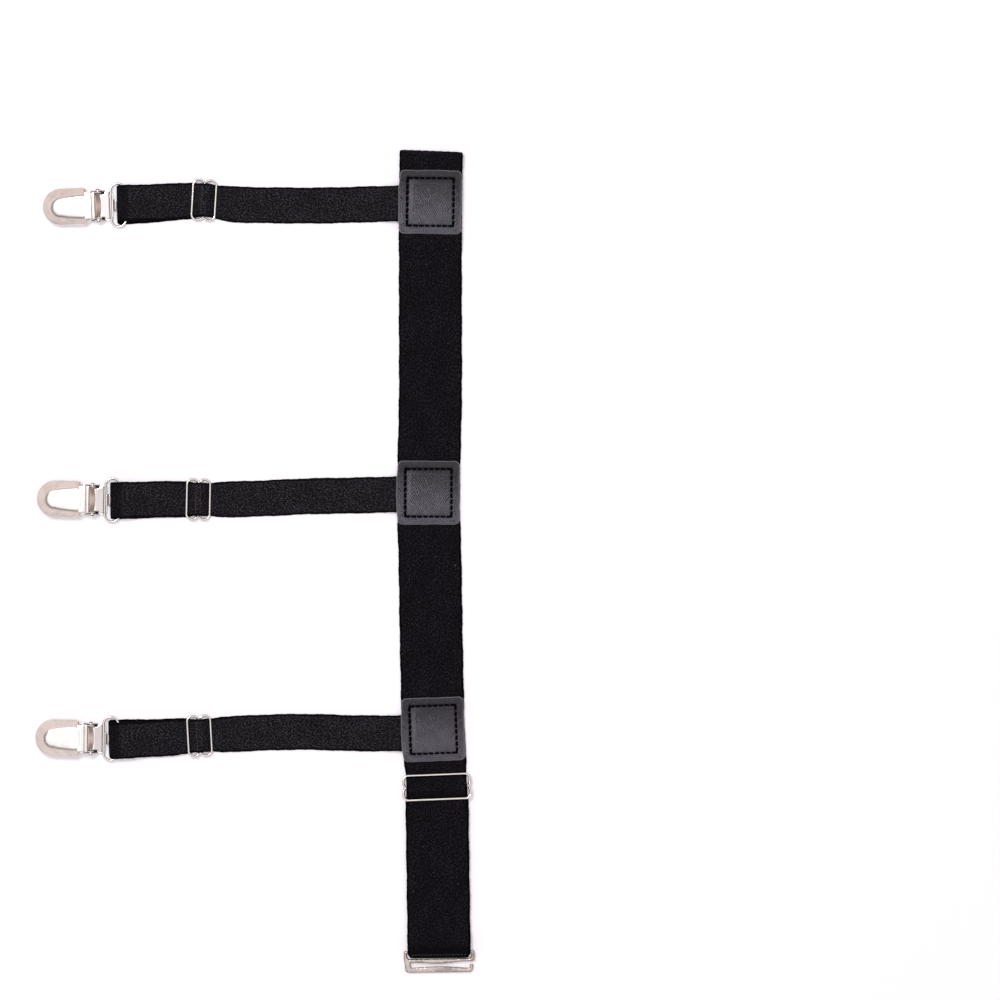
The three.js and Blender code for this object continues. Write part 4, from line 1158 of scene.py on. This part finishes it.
def stitch_square(height_at, sizes, dash, rise, seed):
    """The dashes of thread along the patch's stitched square, bulging up or, with a rise below 0, down."""
    half_u, half_v = PATCH_LENGTH / 2 - STITCH_INSET, PATCH_HEIGHT / 2 - STITCH_INSET
    corners = [(half_u, -half_v), (half_u, half_v), (-half_u, half_v), (-half_u, -half_v)]
    shapes = []

    def add(spot, z, thick):
        shapes.append(tube(np.column_stack([spot, z]), thick, sides=10, lobes=2, twist=0.55))

    for k, radius in enumerate(sizes):
        sink = math.copysign(radius, rise)
        start, end = np.array(corners[k]), np.array(corners[(k + 1) % 4])
        side = end - start
        length = np.linalg.norm(side)
        side /= length
        outward = np.array([side[1], -side[0]])
        for i in range(8):
            lean = 0.05 * math.sin(seed + 2.1 * i + 1.3 * k)
            middle = start + side * (i + 0.5) * length / 8
            t = np.linspace(-1, 1, 11)
            spot = middle + side * (t * dash / 2)[:, None] + outward * (lean * t * 2)[:, None]
            z = height_at(spot[:, 0], spot[:, 1]) + rise - (rise + 1.1 * sink) * np.abs(t) ** 5
            add(spot, z, radius * (1 - 0.4 * np.abs(t) ** 6))
        t = np.linspace(-1, 1, 7)
        spot = start + side * (t * 0.35)[:, None]
        z = height_at(spot[:, 0], spot[:, 1]) - 0.15 * sink - sink * np.abs(t) ** 3
        add(spot, z, radius * (1 - 0.3 * t**4))
    return joined(*shapes)


def build_patch(row, place, layers):
    name = row["name"]
    turn = float(band_drift.heading(row["along"])) + math.radians(row["patch_turn"])
    turned_place = Place(place.origin, place.heading + turn)
    shape, lay, edge = patch_shape(row, layers)
    patch = piece(name + "_patch_leather", shape, turned_place, patch_leather, "patch_leather",
                  marks={"lay": lay, "edge": edge})
    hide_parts(name + "_patch")

    def groove_height(u, v):
        return patch_relief(u, v, np.full(len(u), STITCH_INSET), row, layers)[1]

    seed = row["along"]
    front = stitch_square(groove_height, (0.84, 0.66, 0.76, 0.66), 2.1, 0.42, seed)
    piece(name + "_patch_stitches", front, turned_place, black_thread, "patch_leather")
    back = stitch_square(lambda u, v: 0.3 + 0 * u, [0.3] * 4, 2.3, -0.08, seed + 1)
    piece(name + "_back_stitches", back, turned_place, black_thread, "patch_leather")


# Clips

frame_top = FRAME_LIFT + FRAME_THICKNESS
frame_half = FRAME_WIDTH / 2
ear_inner = frame_half - EAR_THICKNESS
flange_outer = ear_inner - METAL_GAP
flange_inner = flange_outer - FLANGE_THICKNESS
jaw_half = flange_inner - JAW_SIDE_GAP
tail_z = frame_top + METAL_GAP + JAW_THICKNESS / 2
pad_bottom = frame_top + METAL_GAP
jaw_z = pad_bottom + PAD_HEIGHT + METAL_GAP + JAW_THICKNESS / 2
pad_front = FRAME_FRONT - FRAME_THICKNESS - 0.7


def bead_outline():
    """The bead pressed into the base plate: two legs and a broad end round the eyelet."""
    leg = (BEAD_HALF - BEAD_INNER_HALF) / 2
    leg_u, leg_v = BEAD_REAR + leg, BEAD_INNER_HALF + leg
    corner_u, corner_v = BEAD_FRONT - BEAD_CORNER, BEAD_HALF - BEAD_CORNER
    path = Path(BEAD_LEGS_FRONT, BEAD_INNER_HALF, 0.5)
    path.arc(leg_u, leg_v, leg, 3 * QUARTER, QUARTER)
    path.arc(corner_u, corner_v, BEAD_CORNER, QUARTER, 0)
    path.arc(corner_u, -corner_v, BEAD_CORNER, 0, -QUARTER)
    path.arc(leg_u, -leg_v, leg, 3 * QUARTER, QUARTER)
    path.line(BEAD_LEGS_FRONT, -BEAD_INNER_HALF)
    return path.outline()


def ear_outline():
    path = Path(EAR_REAR, FRAME_LIFT, 0.4)
    path.line(EAR_FRONT, FRAME_LIFT)
    path.arc(HINGE_U, HINGE_Z, EAR_RADIUS, math.radians(20), math.radians(160))
    path.line(EAR_REAR, FRAME_LIFT)
    return path.outline()


def lip_shape():
    """The base plate's front lip, turned up and narrower toward its edge."""
    path = Path(FRAME_FRONT - 2.2, 0, 0.4)
    path.arc(FRAME_FRONT - 1.35, 1.0, 1.0, -QUARTER, 0)
    path.line(FRAME_FRONT - 0.35, FRAME_THICKNESS / 2 + LIP_HEIGHT)
    line = path.outline()
    half = frame_half - LIP_INSET * smooth(line[:, 0], FRAME_FRONT - 2.2, FRAME_FRONT - 0.6)
    return shell(swept(line, half, edged(-1, 1, 24, 0.02)), FRAME_THICKNESS)


def frame_shape():
    """The base plate with its bead, front lip and hinge ears."""
    slot_half = TONGUE_WIDTH / 2 + METAL_GAP
    slot_reach = JAW_THICKNESS / 2 + METAL_GAP
    base = plate([
        rounded_box(-FRAME_REAR, FRAME_FRONT - 1, -frame_half, frame_half, FRAME_CORNER),
        rounded_box(TONGUE_SLOT_U - slot_reach, TONGUE_SLOT_U + slot_reach, -slot_half, slot_half, 0.3, 0.3),
        circle(RIVET_U, 0, RIVET_HOLE),
    ], FRAME_THICKNESS, 0.2)
    bead = plate([bead_outline(), circle(RIVET_U, 0, RIVET_HOLE + 0.85)], BEAD_THICKNESS, 0.36)
    ear = plate([ear_outline(), circle(HINGE_U, HINGE_Z, PIVOT_RADIUS + 0.2, 28)], EAR_THICKNESS, 0.18)
    ears = [stood(ear, side * (frame_half - EAR_THICKNESS / 2)) for side in (-1, 1)]
    level = FRAME_LIFT + FRAME_THICKNESS / 2
    return joined(moved(base, z=level), moved(bead, z=FRAME_LIFT - 0.025), moved(lip_shape(), z=level), *ears)


def jaw_tail():
    """The spring plate from the hinge to its front, rising in an arched step."""
    tail = []
    across = edged(-1, 1, 26, 0.015)
    front = FRAME_FRONT - FRAME_THICKNESS
    stations = [0.75, 0.9, 1.6, 2.6, 3.2, 3.8, 4.4, *np.arange(4.8, 9.4, 0.22), 10, 11, 14, 18, 24, 28, 31,
                front - 0.5, front - 0.35]
    for u in stations:
        half = mix(flange_outer, JAW_REAR_HALF, smooth(u, 2.8, 3.4))
        half = mix(half, jaw_half, smooth(u, 5.2, 6.2))
        v = across * half
        arch = 5.3 + 1.3 * (v / flange_outer) ** 2
        climb = np.clip((u - arch) / (8.5 - arch), 0, 1)
        z = mix(tail_z, jaw_z, climb)
        tail.append(np.column_stack([np.full(len(v), u), v, z]))
    return shell(np.array(tail), JAW_THICKNESS)


def jaw_tongue():
    """The tongue that holds the ring, from its lip round the ring and up through the base's slot."""
    curl = -FRAME_REAR - METAL_GAP - JAW_THICKNESS / 2
    low = JAW_THICKNESS / 2
    line = Path(curl - TONGUE_LIP, TONGUE_TIP - 0.1, 0.25)
    line.line(curl - 0.6, TONGUE_TIP - 0.28)
    line.curve((curl, TONGUE_TIP - 0.5), (curl, TONGUE_TIP - 1.2), (curl, low + 0.6))
    line.arc(curl + 0.5, low + 0.5, 0.5, 2 * QUARTER, 3 * QUARTER)
    line.arc(TONGUE_SLOT_U - 0.5, low + 0.5, 0.5, -QUARTER, 0)
    line.line(TONGUE_SLOT_U, tail_z - 0.2)
    spots = line.outline()
    from_tip = np.clip(1.5 - np.arange(len(spots)) * line.step, 0, 1.5)
    half = TONGUE_WIDTH / 2 * np.sqrt(1 - (from_tip / 1.62) ** 2)
    return shell(swept(spots, half, edged(-1, 1, 14, 0.03)), JAW_THICKNESS)


def pad_shape():
    """The ribbed grip pad."""
    body = plate([
        rounded_box(pad_front - PAD_LENGTH, pad_front, -PAD_HALF, PAD_HALF, 0.8),
        circle(RIVET_U, 0, RIVET_HOLE + 0.05),
    ], PAD_HEIGHT - PAD_RIB, 0.3)
    shapes = [moved(body, z=pad_bottom + (PAD_HEIGHT + PAD_RIB) / 2)]
    rib_half = PAD_HALF - PAD_MARGIN
    for u in np.linspace(RIVET_U + 2.6, pad_front - PAD_MARGIN, 3):
        rib = plate([rounded_box(u - 0.32, u + 0.32, -rib_half, rib_half, 0.3, 0.3)], 0.5, 0.2)
        shapes.append(moved(rib, z=pad_bottom + PAD_RIB))
    return joined(*shapes)


def rivet_shape():
    """The eyelet, rolled over below and spread above."""
    head = pad_bottom + 2 * METAL_GAP
    profile = [
        (1.0, 0.35), (1.12, 0.1), (1.4, 0.0), (1.9, 0.02), (2.25, 0.16), (2.35, 0.36), (2.2, 0.55),
        (1.8, 0.62), (1.5, 0.7), (1.5, head), (1.9, head), (2.08, head + 0.15), (2.05, head + 0.4),
        (1.7, head + 0.5), (1.3, head + 0.5), (1.05, head + 0.3), (1.0, head),
    ]
    return moved(turned(profile), u=RIVET_U)


def cap_ring(kind, step, u, inset):
    """One ring of the cap: its reach aside as a share of the half width, and its height."""
    radius = CAP_WIDTH / 2
    centre = CAP_TIP - radius
    top = CAP_TOP - inset
    roof = mix(*CAP_ROOF, np.clip((centre - u) / (centre - CAP_REAR), 0, 1) ** 0.6)
    outer = mix(*CAP_EAVE, 1 - smooth(u, 12.6, 14.6))
    eave = top - CAP_SLOPE * radius * (outer - roof) * (1 - CAP_CREASE / 2)
    if kind == "wall":
        return mix(outer, 1, step), CAP_RIM + (eave - CAP_RIM) * math.sqrt(max(0, 1 - step**2))
    if kind == "slope":
        fall = step**2 / (2 * CAP_CREASE) if step < CAP_CREASE else step - CAP_CREASE / 2
        return mix(roof, outer, step), mix(top, eave, fall / (1 - CAP_CREASE / 2))
    return roof * step, top + 0 * u


def cap_surface(inset):
    """The cap: a flat roof, slopes about it and an upright rim. Rings run round it from the rim in."""
    radius = CAP_WIDTH / 2
    size = radius - inset
    centre = CAP_TIP - radius
    body = np.array([0, 0.25, 0.6, 1.0, 1.5, 2.0, 2.6, 3.4, 4.4, 5.6, 7.2, 9, 11, 13, centre - CAP_REAR])
    straight = CAP_REAR + body
    shoulder = 1 - np.clip(body / CAP_SHOULDER, 0, 1)
    narrowed = size - CAP_SHOULDER * (1 - np.sqrt(1 - shoulder**2))
    fan = np.linspace(0, math.pi, 57)[1:-1] - QUARTER
    rings = [("wall", math.sin(t * QUARTER)) for t in np.linspace(1, 0, 10)]
    rings += [("slope", step) for step in np.linspace(1, 0, 16)[1:]]
    rings += [("roof", step) for step in np.linspace(1, 0, 7)[1:]]
    grid = []
    for kind, step in rings:
        reach, z = cap_ring(kind, step, straight, inset)
        rear = np.column_stack([straight, narrowed * reach, z])
        reach, z = cap_ring(kind, step, centre + 0 * fan, inset)
        front = np.column_stack([centre + size * reach * np.cos(fan), size * reach * np.sin(fan), z])
        grid.append(np.concatenate([rear * (1, -1, 1), front, rear[::-1]]))
    return np.array(grid)


def neck_shape():
    """The neck between the cap and the hinge, with a rolled rear edge, a groove and a ridge."""
    side = Path(NECK_REAR + 0.35, 4.9, 0.3)
    side.line(NECK_REAR + 0.35, 7.0)
    side.arc(NECK_REAR + 0.85, 7.2, 0.5, 2 * QUARTER, QUARTER)
    side.line(9.5, 7.68)
    side.curve((9.8, 7.68), (9.8, 7.36), (10.1, 7.36))
    side.curve((10.4, 7.36), (10.4, 7.75), (10.9, 7.82))
    side.curve((11.2, 7.86), (11.4, 7.82), (11.8, 7.7))
    side.line(NECK_FRONT, 7.62)
    line = side.outline()
    across = edged(-1, 1, 30, 0.02)
    half = flange_outer + 0.25 * np.exp(-((line[:, 0] - 9.0) / 0.6) ** 2) * smooth(line[:, 1], 6.5, 7.4)
    middle = swept(line, half, across)
    middle[..., 2] -= 0.12 * across**6 * smooth(line[:, 1:], 7, 7.5)
    return shell(middle, NECK_THICKNESS)


def flange_outline():
    """The side plate that joins the cap and the neck to the hinge pin."""
    first = complex(HINGE_U, HINGE_Z) + cmath.rect(FLANGE_RADIUS, FLANGE_ARC[0])
    path = Path(first.real, first.imag, 0.4)
    path.arc(HINGE_U, HINGE_Z, FLANGE_RADIUS, *FLANGE_ARC)
    path.line(CAP_REAR - 0.7, HINGE_Z)
    path.line(CAP_REAR + 0.75, FLANGE_TOP)
    path.line(NECK_REAR + 0.3, FLANGE_TOP)
    path.line(first.real, first.imag)
    return path.outline()


def pin_shape(side):
    """A hinge pin with a domed end outside the ear."""
    v = np.array([0, 0.5, 1.4, 2.0, 2.05, 2.35, 2.6, 2.75, 2.82])
    radius = PIVOT_RADIUS * np.array([1, 1, 1, 1, 1.25, 1.22, 0.95, 0.5, 0.08])
    reach = mix(flange_inner, PIVOT_REACH, v / v[-1])
    return tube(np.column_stack([0 * v + HINGE_U, side * reach, 0 * v + HINGE_Z]), radius, sides=20)


def lever_shape():
    cap = closed_sheet(cap_surface(0), cap_surface(CAP_WALL), folded=True)
    sides = []
    for side in (-1, 1):
        flange = plate([flange_outline()], FLANGE_THICKNESS, 0.15)
        sides.append(stood(flange, side * (flange_outer - FLANGE_THICKNESS / 2)))
        sides.append(pin_shape(side))
    return joined(cap, neck_shape(), *sides)


def build_clip(row, place, layers):
    name = row["name"]
    clip = place.inside(layers["ring_bar"], row["ring_aside"] * STRAP_WIDTH, math.radians(row["clip_turn"]))
    ring_z = frame_top + METAL_GAP + RING_WIRE / 2
    parts = [
        ("ring_wire", "ring", moved(ring_shape(), z=ring_z), wire_metal, "nickel_wire", "root"),
        ("clip_base", "clip_frame", frame_shape(), base_metal, "clip_nickel", "root"),
        ("clip_spring", "clip_jaw", joined(jaw_tail(), jaw_tongue()), spring_metal, "clip_nickel", "root"),
        ("clip_grip", "clip_pad", pad_shape(), grip_plastic, "grip_plastic", "root"),
        ("clip_eyelet", "clip_rivet", rivet_shape(), clip_metal, "clip_nickel", "root"),
        ("clip_cap", "clip_lever", lever_shape(), clip_metal, "clip_nickel", "lever_" + name),
    ]
    for part, node, shape, material, slot, body in parts:
        made = piece(f"{name}_{part}", shape, clip, material, slot, body=body, marks={"lay": shape[0]},
                     flat=part != "ring_wire")
        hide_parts(f"{name}_{node}")


# Stage


def build_camera():
    """Straight above, with the photo's whole width in view."""
    data = bpy.data.cameras.new("camera")
    data.sensor_width = CAMERA_SENSOR
    data.lens = CAMERA_SENSOR * CAMERA_HEIGHT / VIEW_WIDTH
    data.clip_end = 10
    camera = placed("camera", data)
    camera.location = (*VIEW_CENTRE, CAMERA_HEIGHT)
    bpy.context.scene.camera = camera


def build_floor():
    mesh = bpy.data.meshes.new("floor")
    corners = [(x * FLOOR_HALF, y * FLOOR_HALF, FLOOR_Z) for x, y in ((-1, -1), (1, -1), (1, 1), (-1, 1))]
    mesh.from_pydata(corners, [], [(0, 1, 2, 3)])
    mesh.materials.append(floor_surface())
    floor = placed("floor", mesh)


def build_light(name, place, size, power, colour):
    data = bpy.data.lights.new(name, "AREA")
    data.shape = "DISK"
    data.size = size
    data.energy = power
    data.color = colour
    light = placed(name, data)
    light.location = place
    track = light.constraints.new("TRACK_TO")
    track.target = placed(name + " aim")
    track.track_axis = "TRACK_NEGATIVE_Z"
    track.up_axis = "UP_Y"


# The studio round the object: how nearly a direction points at the bright ceiling, colour
CEILING_LEAN = (-0.1, -0.07)
STUDIO_STRENGTH = 1.1
SURROUNDINGS = [
    (-0.25, (0.9, 0.88, 0.9)),
    (-0.02, (0.34, 0.27, 0.25)),
    (0.14, (0.27, 0.2, 0.175)),
    (0.35, (0.28, 0.2, 0.17)),
    (0.42, (0.75, 0.63, 0.59)),
    (0.68, (0.77, 0.67, 0.65)),
    (0.755, (0.14, 0.12, 0.115)),
    (0.83, (0.14, 0.12, 0.115)),
    (0.9, (1.0, 0.99, 1.0)),
    (1.0, (1.0, 1.0, 1.0)),
]


def build_world():
    world = bpy.data.worlds.new("studio")
    world.use_nodes = True
    bpy.context.scene.world = world
    tree = world.node_tree
    background = tree.nodes["Background"]
    direction = tree.nodes.new("ShaderNodeTexCoord").outputs["Generated"]
    toward = tree.nodes.new("ShaderNodeVectorMath")
    toward.operation = "DOT_PRODUCT"
    axis = np.array([*CEILING_LEAN, 1])
    toward.inputs[1].default_value = tuple(axis / np.linalg.norm(axis))
    tree.links.new(direction, toward.inputs[0])
    share = tree.nodes.new("ShaderNodeMapRange")
    share.inputs["From Min"].default_value = -1
    tree.links.new(toward.outputs["Value"], share.inputs["Value"])
    ramp = tree.nodes.new("ShaderNodeValToRGB")
    while len(ramp.color_ramp.elements) < len(SURROUNDINGS):
        ramp.color_ramp.elements.new(0.5)
    for element, (nearness, colour) in zip(ramp.color_ramp.elements, SURROUNDINGS):
        element.position = (nearness + 1) / 2
        element.color = (*colour, 1)
    tree.links.new(share.outputs[0], ramp.inputs[0])
    tree.links.new(ramp.outputs[0], background.inputs["Color"])
    background.inputs["Strength"].default_value = STUDIO_STRENGTH


bpy.context.scene.view_settings.view_transform = "Standard"
build_camera()
build_floor()
build_world()
build_light("key", (-0.46, 0.65, 1.85), 0.5, 14, (1, 0.98, 1))

build_hook()
build_band()
for strap_row in STRAPS:
    strap_place = band_place.inside(strap_row["along"], float(band_drift.aside(strap_row["along"])), -QUARTER)
    strap_places = strap_layers(strap_row)
    build_strap(strap_row, strap_place, strap_places)
    build_patch(strap_row, strap_place, strap_places)
    build_clip(strap_row, strap_place, strap_places)
